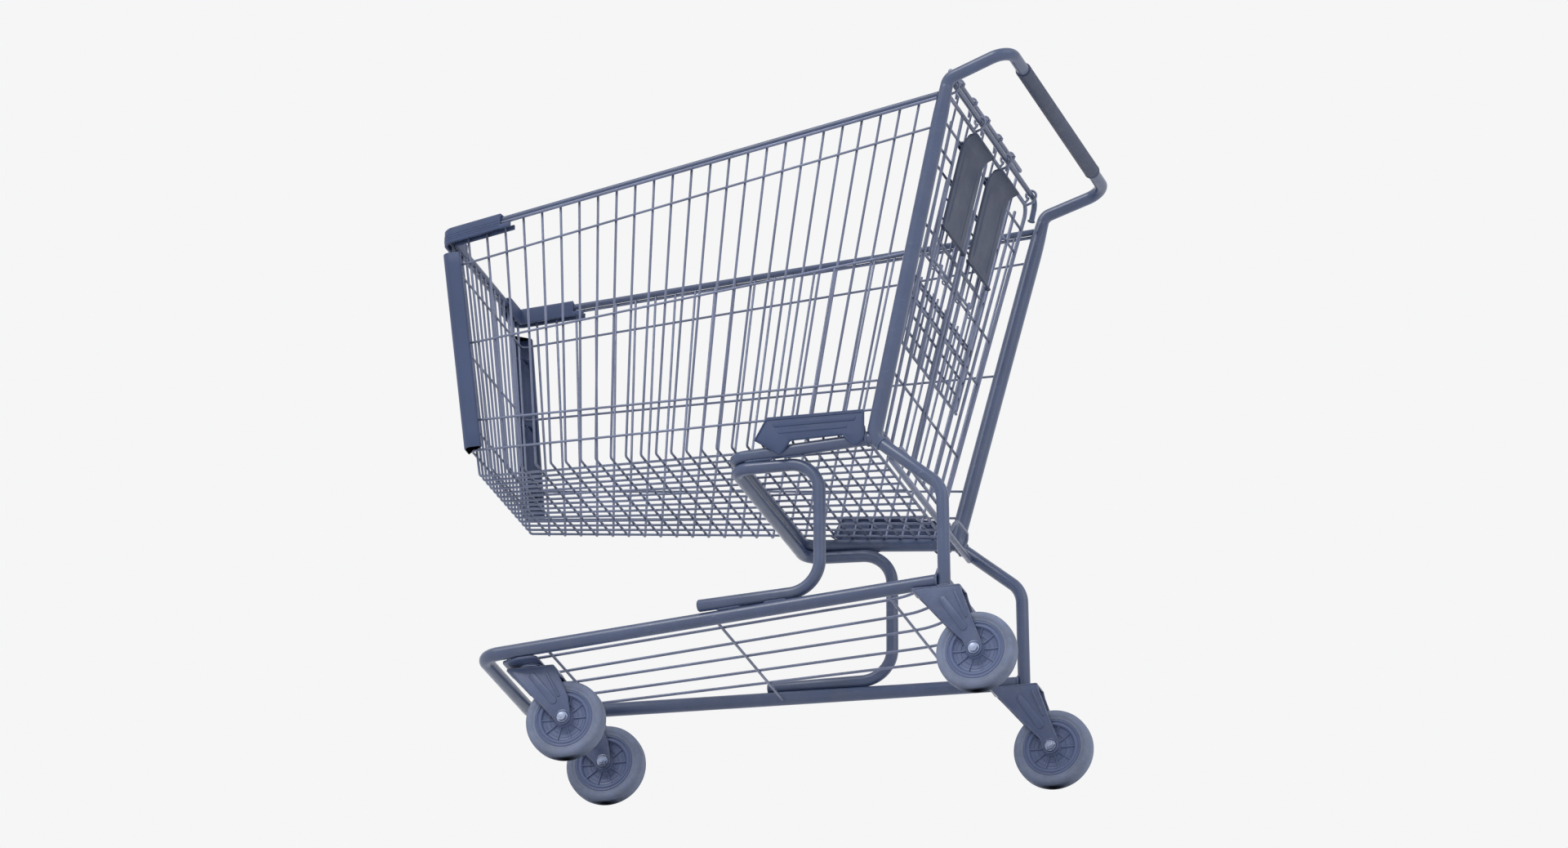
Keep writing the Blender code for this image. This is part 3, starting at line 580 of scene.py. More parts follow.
def slab(sh, outline, place, h0, h1, bevel=0.6, steps=3):
    """Plate with rounded edges. outline: 2-D, mm; place(p, h) gives the 3-D point in metres."""
    if area2d(outline) < 0:
        outline = outline[::-1]
    lo, hi = min(h0, h1), max(h0, h1)
    levels = []
    for k in range(steps + 1):
        a = math.pi / 2 * k / steps
        levels.append((bevel * (1 - math.sin(a)), lo + bevel * (1 - math.cos(a))))
    for k in range(steps + 1):
        a = math.pi / 2 * (1 - k / steps)
        levels.append((bevel * (1 - math.sin(a)), hi - bevel * (1 - math.cos(a))))
    rings = []
    for ins, h in levels:
        ring = inset2d(outline, ins) if ins > 1e-9 else outline
        rings.append([place(p, h) for p in ring])
    n = len(outline)
    verts = [q for ring in rings for q in ring]
    faces = []
    for i in range(len(rings) - 1):
        a, b = i * n, (i + 1) * n
        for j in range(n):
            k = (j + 1) % n
            faces.append((a + j, a + k, b + k, b + j))
    faces.append(tuple(range(n))[::-1])
    faces.append(tuple((len(rings) - 1) * n + j for j in range(n)))
    return sh.add(verts, outward(verts, faces))


def stadium(a, b, r, seg=8):
    """Outline of a slot between two 2-D points."""
    a, b = np.array(a, float), np.array(b, float)
    d = unit(b - a)
    n = np.array((-d[1], d[0]))
    out = []
    for k in range(seg + 1):
        t = math.pi * k / seg
        out.append(a + n * r * math.cos(t) - d * r * math.sin(t))
    for k in range(seg + 1):
        t = math.pi * k / seg
        out.append(b - n * r * math.cos(t) + d * r * math.sin(t))
    return out


def extrude_along(sh, P, outline, up=(0, 0, 1), bevel=0.8):
    """Closed 2-D outline (mm: sideways, up) carried along a path, with softened end faces."""
    P = [np.array(p, float) for p in P]
    up = np.array(up, float)
    if area2d(outline) < 0:
        outline = outline[::-1]
    n = len(P)
    T = [unit(P[min(i + 1, n - 1)] - P[max(i - 1, 0)]) for i in range(n)]
    b = bevel * 0.001
    soft = [(1 - math.sin(math.pi / 2 * k / 3), 1 - math.cos(math.pi / 2 * k / 3)) for k in range(4)]
    rings = [(P[0] + T[0] * b * back, T[0], ins * bevel) for ins, back in soft]
    rings += [(P[i], T[i], 0.0) for i in range(1, n - 1)]
    rings += [(P[-1] - T[-1] * b * back, T[-1], ins * bevel) for ins, back in soft[::-1]]
    verts = []
    m = len(outline)
    for p, t, ins in rings:
        side = unit(np.cross(t, up))
        o = inset2d(outline, ins) if ins > 1e-9 else outline
        verts.extend(p + side * (q[0] * 0.001) + up * (q[1] * 0.001) for q in o)
    faces = []
    for i in range(len(rings) - 1):
        a, c = i * m, (i + 1) * m
        for j in range(m):
            k = (j + 1) % m
            faces.append((a + j, a + k, c + k, c + j))
    faces.append(tuple(range(m))[::-1])
    faces.append(tuple((len(rings) - 1) * m + j for j in range(m)))
    return sh.add(verts, outward(verts, faces))


def weld_ring(sh, centre, axis, R, r=1.7, ripples=26, sides=10, squash=1.0):
    """Rippled bead round a joint. R and r in millimetres."""
    c = np.array(centre, float)
    a, s, u = axis_frame(axis)
    steps = ripples * 3
    verts = []
    for i in range(steps):
        th = 2 * math.pi * i / steps
        rad = s * math.cos(th) + u * math.sin(th)
        rr = r * (1.0 + 0.16 * math.cos(th * ripples) + 0.10 * math.sin(3 * th + R))
        for j in range(sides):
            ph = 2 * math.pi * j / sides
            verts.append(c + rad * (R + rr * math.cos(ph)) * 0.001 + a * rr * math.sin(ph) * squash * 0.001)
    faces = []
    for i in range(steps):
        p, q = i * sides, ((i + 1) % steps) * sides
        for j in range(sides):
            k = (j + 1) % sides
            faces.append((p + j, q + j, q + k, p + k))
    return sh.add(verts, faces)


def weld_seam(sh, a, b, r=2.0, pitch=3.0, sides=10):
    """Straight rippled bead from a to b (metres)."""
    a, b = np.array(a, float), np.array(b, float)
    L = np.linalg.norm(b - a) * 1000.0
    n = max(8, int(L / pitch * 3))
    P, R = [], []
    for i in range(n + 1):
        t = i / n
        P.append(a + (b - a) * t)
        taper = min(1.0, 6.0 * t + 0.25, 6.0 * (1 - t) + 0.25)
        R.append(0.001 * r * taper * (1.0 + 0.17 * math.cos(2 * math.pi * t * L / pitch)))
    return sweep(sh, P, R, sides)


def hex_prism(sh, centre, axis, across, x0, x1, chamfer=0.9, phase=0.0, hollow=None):
    """Hexagon head or nut along an axis, with turned chamfers at both ends. Sizes in mm."""
    c = np.array(centre, float)
    a, s, u = axis_frame(axis)
    rc = across / math.sqrt(3.0)
    levels = [(x0, 0.90), (x0 + chamfer * 0.5, 0.97), (x0 + chamfer, 1.0), (x1 - chamfer, 1.0),
              (x1 - chamfer * 0.5, 0.97), (x1, 0.90)]
    sides = 36
    verts = []
    for x, k in levels:
        for j in range(sides):
            th = 2 * math.pi * j / sides
            w = (th % (math.pi / 3)) - math.pi / 6
            rad = (across / 2) / math.cos(w)
            rad = min(rad, rc * k)
            verts.append(c + a * x * 0.001 + (s * math.cos(th + phase) + u * math.sin(th + phase)) * rad * 0.001)
    faces = []
    for i in range(len(levels) - 1):
        p, q = i * sides, (i + 1) * sides
        for j in range(sides):
            k = (j + 1) % sides
            faces.append((p + j, p + k, q + k, q + j))
    faces.append(tuple(range(sides))[::-1])
    faces.append(tuple((len(levels) - 1) * sides + j for j in range(sides)))
    if x1 < x0:
        faces = [f[::-1] for f in faces]
    return sh.add(verts, faces)


# ==================================================================== chassis
def mir(points, s):
    return [pt(s * x, y, z) for x, y, z in points]


def both(points):
    """A run of stations followed by its mirror image, for tubes that cross the middle."""
    return [pt(*p) for p in points] + [pt(-x, y, z) for x, y, z in points[::-1]]


def along(a, b, d):
    """Station d mm from a towards b."""
    a, b = np.array(a, float), np.array(b, float)
    return tuple(a + unit(b - a) * d)


for side, s in (("left", 1), ("right", -1)):
    knee = lerp(ELBOW, LEG_BEND, 0.115)
    # upright: swaged in at the top for the handle tube, bent and swaged at the elbow
    tops = [along(UPRIGHT_TOP, ELBOW, d) for d in (-1.5, 5.0, 14.0, 26.0, 42.0, 64.0)]
    body = rounded([tops[-1], ELBOW, knee], [23.0], 14)
    radii = [10.12, 10.35, 10.9, 11.6, 12.2, UPRIGHT_R]
    bend = np.linspace(UPRIGHT_R, 10.35, len(body) - 2)
    bend = [UPRIGHT_R + (10.35 - UPRIGHT_R) * (3 * t * t - 2 * t ** 3) for t in np.linspace(0, 1, len(body) - 1)]
    sh = Shape()
    sweep(sh, mir([tuple(p) for p in tops + list(body[1:])], s), [r * 0.001 for r in radii + bend], 40, ("cut", "cut"))
    piece("upright_tube_" + side + "_coated", sh, "tube_coat", "frame", ["upright_tube_" + side])

    sh = Shape()
    leg = rounded([knee, LEG_BEND, along(LEG_FOOT, LEG_BEND, 0.0)], [45.0], 16)
    sweep(sh, mir(leg, s), LEG_R * 0.001, 36, ("cut", "cut"))
    piece("rear_leg_" + side + "_coated", sh, "tube_coat", "frame", ["rear_leg_" + side])

    # beads where the tubes meet
    sh = Shape()
    d = unit(np.array(LEG_BEND) - np.array(ELBOW)) * (s, 1, 1)
    weld_ring(sh, pt(s * knee[0], knee[1], knee[2]), d, 10.2, 1.5, 24)
    d = unit(np.array(BASE_CORNER) - np.array(BASE_END)) * (s, 1, 1)
    p = along(BASE_END, BASE_CORNER, 12.6)
    weld_ring(sh, pt(s * p[0], p[1], p[2]), d, 10.2, 1.9, 26)
    weld_ring(sh, pt(s * LEG_FOOT[0], LEG_FOOT[1], LEG_FOOT[2] + 0.6), (0, 0, 1), 10.6, 2.0, 26)
    d = unit(np.array(TRAY_CORNER) - np.array(TRAY_REAR)) * (s, 1, 1)
    p = along(TRAY_REAR, TRAY_CORNER, -1.0)
    weld_ring(sh, pt(s * p[0], p[1], p[2]), d, 10.9, 1.9, 28)
    # support tube laid against the base frame above and on the tray rail below
    for y0, y1 in ((-380.0, -330.0), (-316.0, -280.0)):
        q = []
        for y in (y0, y1):
            t = (y - BASE_CORNER[1]) / (BASE_END[1] - BASE_CORNER[1])
            bx, bz = BASE_CORNER[0] + t * (BASE_END[0] - BASE_CORNER[0]), BASE_CORNER[2] + t * (BASE_END[2] - BASE_CORNER[2])
            t = (y - SUPPORT_TOP_CORNER[1]) / (SUPPORT_KNEE[1] - SUPPORT_TOP_CORNER[1])
            sx = SUPPORT_TOP_CORNER[0] + t * (SUPPORT_KNEE[0] - SUPPORT_TOP_CORNER[0])
            sz = SUPPORT_TOP_CORNER[2] + t * (SUPPORT_KNEE[2] - SUPPORT_TOP_CORNER[2])
            q.append(((bx + sx) / 2 + 4.6, y, (bz + sz) / 2))
        weld_seam(sh, pt(s * q[0][0], *q[0][1:]), pt(s * q[1][0], *q[1][1:]), 2.4)
    for y0, y1 in ((-428.0, -388.0), (-350.0, -312.0)):
        q = []
        for y in (y0, y1):
            t = (y - TRAY_CORNER[1]) / (TRAY_REAR[1] - TRAY_CORNER[1])
            bx, bz = TRAY_CORNER[0] + t * (TRAY_REAR[0] - TRAY_CORNER[0]), TRAY_CORNER[2] + t * (TRAY_REAR[2] - TRAY_CORNER[2])
            t = (y - SUPPORT_END[1]) / (SUPPORT_FOOT[1] - SUPPORT_END[1])
            sx = SUPPORT_END[0] + t * (SUPPORT_FOOT[0] - SUPPORT_END[0])
            sz = SUPPORT_END[2] + t * (SUPPORT_FOOT[2] - SUPPORT_END[2])
            q.append((bx * 0.52 + sx * 0.48 + 4.8, y, bz * 0.52 + sz * 0.48))
        weld_seam(sh, pt(s * q[0][0], *q[0][1:]), pt(s * q[1][0], *q[1][1:]), 2.4)
    piece("weld_beads_" + side, sh, "weld", "frame")

# push handle and its moulded sleeve
start = lerp(UPRIGHT_TOP, SHOULDER, -4.0 / (SHOULDER[2] - UPRIGHT_TOP[2]))
sh = Shape()
sweep(sh, rounded(both([start, SHOULDER, HANDLE]), [0.019, 0.030, 0.030, 0.019], 14), HANDLE_R * 0.001, 36, ("cut", "cut"))
piece("handle_tube_coated", sh, "tube_coat", "frame", ["handle_tube"])

sh = Shape()
half = [(217.0, 10.3), (217.0, 11.2), (216.6, 11.9), (215.8, 12.4), (214.6, 12.7), (211.5, 12.7), (210.6, 12.45),
        (210.0, 12.15), (209.0, 12.1), (208.3, 12.35), (207.2, 12.5), (120.0, 12.5), (60.0, 12.5)]
prof = [(-x, r) for x, r in half] + half[::-1]
turned(sh, pt(0, HANDLE[1], HANDLE[2]), (1, 0, 0), prof, 72)
# moulding's parting line, front and back
for sg in (-1, 1):
    slab(sh, stadium((-206.0, 0.0), (206.0, 0.0), 0.45, 6),
         lambda p, h: pt(p[0], HANDLE[1] + sg * h, HANDLE[2] + p[1]), 12.2, 12.75, 0.15, 2)
piece("handle_grip_sleeve", sh, "grip", "frame", ["handle_grip"])

sh = Shape()
sweep(sh, rounded(both([BASE_END, BASE_CORNER]), 0.022, 16), BASE_R * 0.001, 36, ("cut", "cut"))
piece("base_frame_tube_coated", sh, "tube_coat", "frame", ["base_frame_tube"])

sh = Shape()
sweep(sh, rounded(both([SUPPORT_END, SUPPORT_FOOT, SUPPORT_KNEE, SUPPORT_TOP_CORNER]),
                  [0.050, 0.050, 0.027, 0.027, 0.050, 0.050], 16), SUPPORT_R * 0.001, 36, ("cut", "cut"))
piece("tray_support_tube_coated", sh, "tube_coat", "frame", ["tray_support_tube"])

sh = Shape()
for s in (1, -1):
    d = unit(np.array(SUPPORT_END) - np.array(SUPPORT_FOOT)) * (s, 1, 1)
    turned(sh, pt(s * SUPPORT_END[0], *SUPPORT_END[1:]), d,
           [(0.2, 8.9), (1.3, 8.8), (2.1, 8.2), (2.5, 7.2), (2.6, 5.0), (2.2, 4.4), (2.2, 1.0)], 36)
piece("support_end_plugs", sh, "plug", "frame")

sh = Shape()
sweep(sh, rounded(both([TRAY_REAR, TRAY_CORNER]), 0.034, 16), TRAY_R * 0.001, 36, ("cut", "cut"))
piece("tray_rail_tube_coated", sh, "tube_coat", "frame", ["tray_rail_tube"])

# cross rods under the gate, with the curved stops that the gate rests on
sh = Shape()
sweep(sh, [pt(x, -136, 397) for x in (-231.5, -120, 0, 120, 231.5)], 0.005, 20, ("dome", "dome"))
piece("lower_cross_rod_coated", sh, "wire_coat", "frame", ["lower_cross_rod"])
sh = Shape()
sweep(sh, rounded([pt(226, -141, 405), pt(219, -144.0, 407.0), pt(-219, -144.0, 407.0), pt(-226, -141, 405)], 0.008, 5),
      0.0032, 14)
for s in (1, -1):
    stop = [(210, -142, 404.5), (208, -134, 421), (196, -130, 429), (140, -130, 429), (128, -133, 421), (126, -141, 404.5)]
    sweep(sh, rounded(mir(stop, s), 0.010, 6), 0.0030, 14)
piece("gate_stop_wires", sh, "wire_coat", "frame")


# ================================================================= lower tray
def tray_z(v):
    return 171.5 + 10.5 * (v + 831.0) / 782.0


def tray_at(u, v, up=0.0):
    k = 0.56 + 0.44 * (v + 800.0) / 700.0
    return (u * k, v, tray_z(v) + up)


sh = Shape()
# (x at v = -720, x at v = -170) of the five long wires
for xf, xr in ((114.2, 187.0), (42.0, 115.0), (-10.0, 45.0), (-70.5, -32.5), (-116.5, -101.5)):
    def deck(v, up=0.0):
        return (xf + (xr - xf) * (v + 720.0) / 550.0, v, tray_z(v) + up)
    run = [deck(v) for v in (-758.0, -700.0, -560.0, -431.0, -280.0, -158.0)]
    tail = [deck(-118.0, 3.0), deck(-92.0, 12.0), deck(-76.0, 25.0), deck(-70.0, 38.0)]
    sweep(sh, smooth_path(mm(run + tail), 4), 0.0023, 12, ("dome", "dome"))
for v, half_w, up in ((-719.0, 141.0, -3.6), (-431.0, 182.0, -3.6), (-147.5, 219.0, -1.8)):
    ends = [(x, v, tray_z(v) + up) for x in (-half_w, -60.0, 60.0, half_w)]
    sweep(sh, mm(ends), 0.0023, 12)
top = [tray_at(x, -61.5, 31.0) for x in (-192.5, -60.0, 60.0, 192.5)]
legs = [tray_at(-200.0, -100.0, 0.0), top[0], top[-1], tray_at(200.0, -100.0, 0.0)]
sweep(sh, rounded(mm(legs), 0.012, 6), 0.0023, 12)
piece("tray_deck_wires", sh, "wire_coat", "frame", ["tray_wire_deck"])


# ===================================================================== basket
def side_point(t, v):
    return lerp(lerp(RIM_CORNER, RIM_REAR, t), lerp(FLOOR_FRONT, FLOOR_REAR, t), v)


def corner_half(v):
    """Half width, front face y, and height of the basket at its front corner, a share v below the rim."""
    return lerp(RIM_CORNER, FLOOR_FRONT, v)


CORNER_R = 10.0
HOOP_R, LONG_R, BELT_R = 0.0020, 0.0020, 0.0019
HOOP_LOW = ((154.2, -835.0, 484.0), (238.4, -175.0, 438.5))


def hoop_ends(k):
    """Top on the rim and corner at the floor of hoop k, counted from the front."""
    y0, y1 = -847.5 + 32.35 * k, -813.0 + 25.72 * k
    top = lerp(RIM_CORNER, RIM_REAR, (y0 - RIM_CORNER[1]) / (RIM_REAR[1] - RIM_CORNER[1]))
    low = lerp(HOOP_LOW[0], HOOP_LOW[1], (y1 + 835.0) / 660.0)
    return top, low


# U-shaped hoops: rim, side, floor, side, rim
sh = Shape()
for k in range(25):
    sweep(sh, rounded(both(list(hoop_ends(k))), 0.0042, 6), HOOP_R, 10, ("dome", "dome"))
piece("basket_hoop_wires", sh, "wire_coat", "frame", ["basket_side_left", "basket_side_right"])


def corner_dy(inset):
    """How far the rounded corner falls back from the front face at this distance from the side."""
    if inset >= CORNER_R:
        return 0.0
    return CORNER_R - math.sqrt(max(0.0, CORNER_R ** 2 - (CORNER_R - inset) ** 2))


# L-shaped wires: up the front face, along the floor under the hoops
sh = Shape()
for j in range(15):
    a = -1 + 2 * j / 14
    pts = []
    for v in (0.006, 0.25, 0.5, 0.75):
        c = corner_half(v)
        x = a * (c[0] - 6.0 - 13.9 * v)
        pts.append((x, c[1] + corner_dy(c[0] - abs(x)) + 1.0, c[2]))
    run = [(a * (133.6 + 81.1 * (y + 835.0) / 660.0), y, 479.6 - 44.0 * (y + 835.0) / 660.0)
           for y in (-839.0, -780.0, -505.0, -176.0)]
    sweep(sh, rounded(mm(pts + run), [0.0] * 3 + [0.006] + [0.0] * 2, 7), LONG_R, 10, ("dome", "dome"))
piece("basket_long_wires", sh, "wire_coat", "frame", ["basket_front", "basket_floor"])


# belts outside the hoops: front corner and a station near the back of each
BELT_RUNS = (((181.2, -870.0, 822.4), (294.8, -40.0, 924.2)), ((171.8, -860.0, 691.7), (272.6, -100.0, 724.3)),
             ((162.7, -850.0, 564.6), (254.2, -130.0, 522.2)), ((159.3, -845.0, 514.5), (248.3, -150.0, 476.6)))


def belt_path(front, back):
    """Round the front, to just ahead of the uprights."""
    t = 1.0
    for _ in range(4):
        z = front[2] + t * (back[2] - front[2])
        q = lerp(ELBOW, UPRIGHT_TOP, (z - ELBOW[2]) / (UPRIGHT_TOP[2] - ELBOW[2]))
        t = (q[1] - 10.5 - front[1]) / (back[1] - front[1])
    return rounded(both([lerp(front, back, t), front]), 0.010, 8)


sh = Shape()
for front, back in BELT_RUNS:
    sweep(sh, belt_path(front, back), BELT_R, 10)
# back edge of the floor; the two lighter rods also listed are skipped by the radius test
for t, r in ((0.992, 0.0026), (0.30, 0.0020), (0.66, 0.0020)):
    e = lerp(FLOOR_FRONT, FLOOR_REAR, t)
    if r > 0.0022:
        sweep(sh, rounded([pt(-(e[0] - 1), e[1] - 2, e[2] + 16), pt(-(e[0] - 1), e[1], e[2] - 1.0),
                           pt(e[0] - 1, e[1], e[2] - 1.0), pt(e[0] - 1, e[1] - 2, e[2] + 16)], 0.010, 5), r, 12)
piece("basket_belt_wires", sh, "wire_coat", "frame")

# rim: heavy rod, with a lighter rod outside and below it
sh = Shape()
end = lerp(RIM_CORNER, RIM_REAR, 0.988)
sweep(sh, rounded(both([end, RIM_CORNER]), 0.012, 12), 0.0050, 22, ("cut", "cut"))
piece("basket_rim_rod_coated", sh, "tube_coat", "frame", ["basket_rim_rod"])
sh = Shape()
off, drop = 4.4, 7.0
e = lerp(RIM_CORNER, RIM_REAR, 0.986)
sweep(sh, rounded(both([(e[0] + off, e[1], e[2] - drop), (RIM_CORNER[0] + off, RIM_CORNER[1] - off, RIM_CORNER[2] - drop)]),
                  0.0164, 12), 0.0026, 14, ("cut", "cut"))
piece("basket_rim_outer_rod", sh, "wire_coat", "frame")

# ------------------------------------------------ clip-on guards and bumpers
CHANNEL = [(-10.5, -18), (-10.5, 5.8), (-7.5, 8.8), (7.5, 8.8), (10.5, 5.8), (10.5, -18), (5.6, -18), (5.6, 5.6),
           (-5.6, 5.6), (-5.6, -18)]
CHANNEL_R = [1.2, 2.4, 2.4, 2.4, 2.4, 1.2, 1.2, 1.5, 1.5, 1.2]
LIP = [(5.8, -18), (5.8, -10.5), (10.4, -10.5), (10.4, -18)]
for side, s in (("left", 1), ("right", -1)):
    c = RIM_CORNER
    back = lerp(RIM_CORNER, RIM_REAR, 0.1086)
    inner = (118.0, c[1], c[2])
    path = rounded(mir([back, c, inner], s), 0.0112, 14)
    sh = Shape()
    extrude_along(sh, path, fillet2d(CHANNEL, CHANNEL_R, 4), bevel=0.9)
    # lower lip that runs on past the cap, and the two grooves along the outer face
    lip0 = lerp(RIM_CORNER, RIM_REAR, 0.1288)
    o = [((q[0]) * (-s), q[1]) for q in LIP]
    extrude_along(sh, mir([lip0, lerp(RIM_CORNER, RIM_REAR, 0.06)], s), fillet2d(o, 0.9, 3), bevel=0.8)
    o = [(-q[0], q[1]) for q in o]
    extrude_along(sh, mir([lip0, lerp(RIM_CORNER, RIM_REAR, 0.06)], s), fillet2d(o, 0.9, 3), bevel=0.8)
    for z in (-3.8, -8.0, -11.4):
        rib = [(s * -10.1, z - 0.7), (s * -11.0, z - 0.35), (s * -11.0, z + 0.35), (s * -10.1, z + 0.7)]
        pth = rounded(mir([lerp(RIM_CORNER, RIM_REAR, 0.105), c, (121.0, c[1], c[2])], s), 0.0112, 14)
        extrude_along(sh, pth, rib, bevel=0.2)
    piece("corner_bumper_" + side + "_moulded", sh, "plastic", "frame", ["corner_bumper_" + side], angle=42)

    # corner strip: side leg with a turned-in edge, rounded corner, front leg, straight cut ends
    sh = Shape()
    prof = [(12.0, 18.2), (20.0, 18.2), (20.0, -12.0), (-14.0, -12.0), (-14.0, -9.0), (17.0, -9.0), (17.0, 15.2), (12.0, 15.2)]
    prof = fillet2d(prof, [0.9, 2.2, 14.0, 0.9, 0.9, 11.0, 0.9, 0.9], 9)
    rows = []
    for z, d in [(841.5, 0.9), (841.2, 0.4), (840.5, 0.0)] + [(z, 0.0) for z in np.linspace(820.0, 540.0, 9)] + \
            [(516.5, 0.0), (515.8, 0.4), (515.5, 0.9)]:
        v = (c[2] - z) / (c[2] - FLOOR_FRONT[2])
        cx, cy, _ = lerp(RIM_CORNER, FLOOR_FRONT, v)
        ring = prof if d == 0.0 else inset2d(prof, d)
        rows.append([pt(s * (cx + q[0]), cy + q[1], z) for q in ring])
    m = len(rows[0])
    verts = [q for r in rows for q in r]
    faces = []
    for i in range(len(rows) - 1):
        for j in range(m):
            k = (j + 1) % m
            faces.append((i * m + j, i * m + k, (i + 1) * m + k, (i + 1) * m + j))
    faces.append(tuple(range(m))[::-1])
    faces.append(tuple((len(rows) - 1) * m + j for j in range(m)))
    sh.add(verts, outward(verts, faces))
    for z in (800.0, 680.0, 560.0):
        v = (c[2] - z) / (c[2] - FLOOR_FRONT[2])
        cx, cy, _ = lerp(RIM_CORNER, FLOOR_FRONT, v)
        for hook in ([(17.4, 6.0), (3.0, 6.0), (3.0, 12.0)], [(-4.0, -9.4), (-4.0, 3.4), (-9.0, 3.4)]):
            sweep(sh, rounded([pt(s * (cx + q[0]), cy + q[1], z) for q in hook], 0.002, 4), 0.0020, 12)
    piece("corner_strip_" + side + "_moulded", sh, "plastic", "frame", ["corner_strip_" + side], angle=42)

    # side guard plate with a raised border, pressed swage and rolled top edge
    GUARD = [(-341.5, 489.7), (-173.0, 474.4), (-173.1, 431.3), (-176.7, 423.8), (-185.1, 417.6), (-193.4, 419.9),
             (-201.8, 428.1), (-210.1, 439.2), (-299.4, 445.3), (-306.4, 435.6), (-317.6, 424.4), (-338.7, 439.9),
             (-361.7, 456.2), (-360.6, 458.8)]
    GR = [3, 3, 4, 4, 4, 4, 4, 6, 5, 5, 4, 8, 1, 1]

    def guard_at(p, h):
        x = BASE_CORNER[0] + (p[0] - BASE_CORNER[1]) * (ELBOW[0] - BASE_CORNER[0]) / (ELBOW[1] - BASE_CORNER[1]) + 11.6
        return pt(s * (x + h), p[0], p[1])
    sh = Shape()
    out = fillet2d(GUARD, GR, 6)
    slab(sh, out, guard_at, 0.0, 2.6, 0.9)
    # border bead
    edge = [guard_at(p, 2.7) for p in inset2d(out, 2.6)]
    sweep(sh, edge, 0.0013, 8, closed=True)
    # swages
    slab(sh, stadium((-325.0, 476.5), (-192.0, 464.4), 4.2, 8), guard_at, 2.0, 3.7, 1.0)
    slab(sh, stadium((-318.0, 463.0), (-205.0, 452.8), 2.8, 8), guard_at, 2.0, 3.4, 0.9)
    # rolled top edge
    sweep(sh, [guard_at((-338.0, 488.8), 1.3), guard_at((-176.5, 474.2), 1.3)], 0.0024, 14)
    # clips over the floor wires and the base tube
    for y in (-300.0, -205.0):
        hook = rounded([guard_at((y, 472.0), 0.5), guard_at((y, 472.0), -10.0), guard_at((y, 463.0), -10.0)], 0.003, 4)
        sweep(sh, hook, 0.0024, 12)
    piece("side_guard_" + side + "_moulded", sh, "plastic", "frame", ["side_guard_" + side], angle=42)


# ====================================================== rear gate, child seat
sh = Shape()
arch = [(266.0, -38.0, 982.0), (264.0, GATE_HINGE[0], GATE_HINGE[1])]
sweep(sh, rounded(both(arch), 0.016, 12), 0.0045, 24, ("cut", "cut"))
piece("gate_hinge_rod_coated", sh, "tube_coat", "frame", ["gate_hinge_rod"])
sh = Shape()
for s in (1, -1):
    d = unit((-2.0 * s, 8.0, 31.0))
    weld_ring(sh, pt(s * 266.0, -38.0, 983.5), d, 4.9, 1.3, 14, 8)
piece("hinge_rod_welds", sh, "weld", "frame")

GATE_N = unit((0.0, 1.0, -GATE_SLOPE))          # out through the gate's back


def gate_at(u, z, out=0.0):
    k = 1.0 - 0.225 * (1004.0 - z) / (1004.0 - 465.0)
    return pt(u * k, gate_y(z), z) + GATE_N * out * 0.001


sh = Shape()
BAR, THIN = 0.0027, 0.0022
# top rod that bends down into the two outer bars
frame_run = [gate_at(250, 469, 0.2), gate_at(250, 1001, 0.2), gate_at(-250, 1001, 0.2), gate_at(-250, 469, 0.2)]
sweep(sh, rounded(frame_run, 0.018, 10), 0.0033, 16)
for u in (150, -150):
    sweep(sh, [gate_at(u, 469, 1.4), gate_at(u, 735, 1.4), gate_at(u, 1001, 1.4)], BAR, 12)
for u in (196, -196):
    sweep(sh, [gate_at(u, 469, 1.4), gate_at(u, 735, 1.4), gate_at(u, 972, 1.4)], BAR, 12)
for u in (92, -92):
    sweep(sh, [gate_at(u, 469, 1.4), gate_at(u, 620, 1.4), gate_at(u, 776, 1.4)], BAR, 12)
# centre pair, joined by a loop at the top
loop = [gate_at(9, 469, 1.4), gate_at(9, 984, 1.4), gate_at(-9, 984, 1.4), gate_at(-9, 469, 1.4)]
sweep(sh, rounded(loop, 0.0086, 10), BAR, 12)
for z, half, out in ((FLAP_Z, 252.0, 0.0), (SEAT_HINGE_Z, 252.0, -2.0), (690.0, 252.0, -2.0), (565.0, 252.0, -2.0)):
    sweep(sh, [gate_at(x, z, out) for x in (-half, 0.0, half)], THIN, 12)
for s in (1, -1):
    sweep(sh, [gate_at(s * x, 923.0, -2.0) for x in (144.0, 198.0, 252.0)], THIN, 12)
sweep(sh, rounded([gate_at(253, 480, -0.6), gate_at(253, 471, -0.6), gate_at(-253, 471, -0.6), gate_at(-253, 480, -0.6)], 0.004, 4),
      0.0027, 12)
# eyes bent round the fixed hinge rod
for x in (-236.0, -80.0, 80.0, 236.0):
    c = pt(x, *GATE_HINGE)
    run = []
    for k in range(19):
        a = math.radians(-150.0 + 300.0 * k / 18 + 90.0)
        run.append(c + np.array((0.0, 0.0078 * math.cos(a), 0.0078 * math.sin(a))) + np.array((0.0003 * (k - 9), 0, 0)))
    tail = [c + np.array((0.0027, -0.0075, -0.0110)), pt(x + 2.4, gate_y(1001) - 1.6, 1000.5)]
    tail2 = [c + np.array((-0.0027, 0.0028, -0.0110)), pt(x - 2.4, gate_y(1001) + 1.6, 1000.5)]
    first, last = run[0], run[-1]
    if np.linalg.norm(first - tail[0]) < np.linalg.norm(first - tail2[0]):
        run = tail[::-1] + run + tail2
    else:
        run = tail2[::-1] + run + tail
    sweep(sh, smooth_path(run, 3), 0.0021, 12)
piece("rear_gate_wires", sh, "wire_coat", "gate", ["rear_gate"])

# ------------------------------------------------------------- seat back
BACK_N = unit((0.0, 1.0, -0.245))


def back_at(u, z, out=0.0):
    k = 1.0 - 0.09 * (1052.0 - z) / (1052.0 - 630.0)
    return pt(u * k, back_y(z), z) + BACK_N * out * 0.001


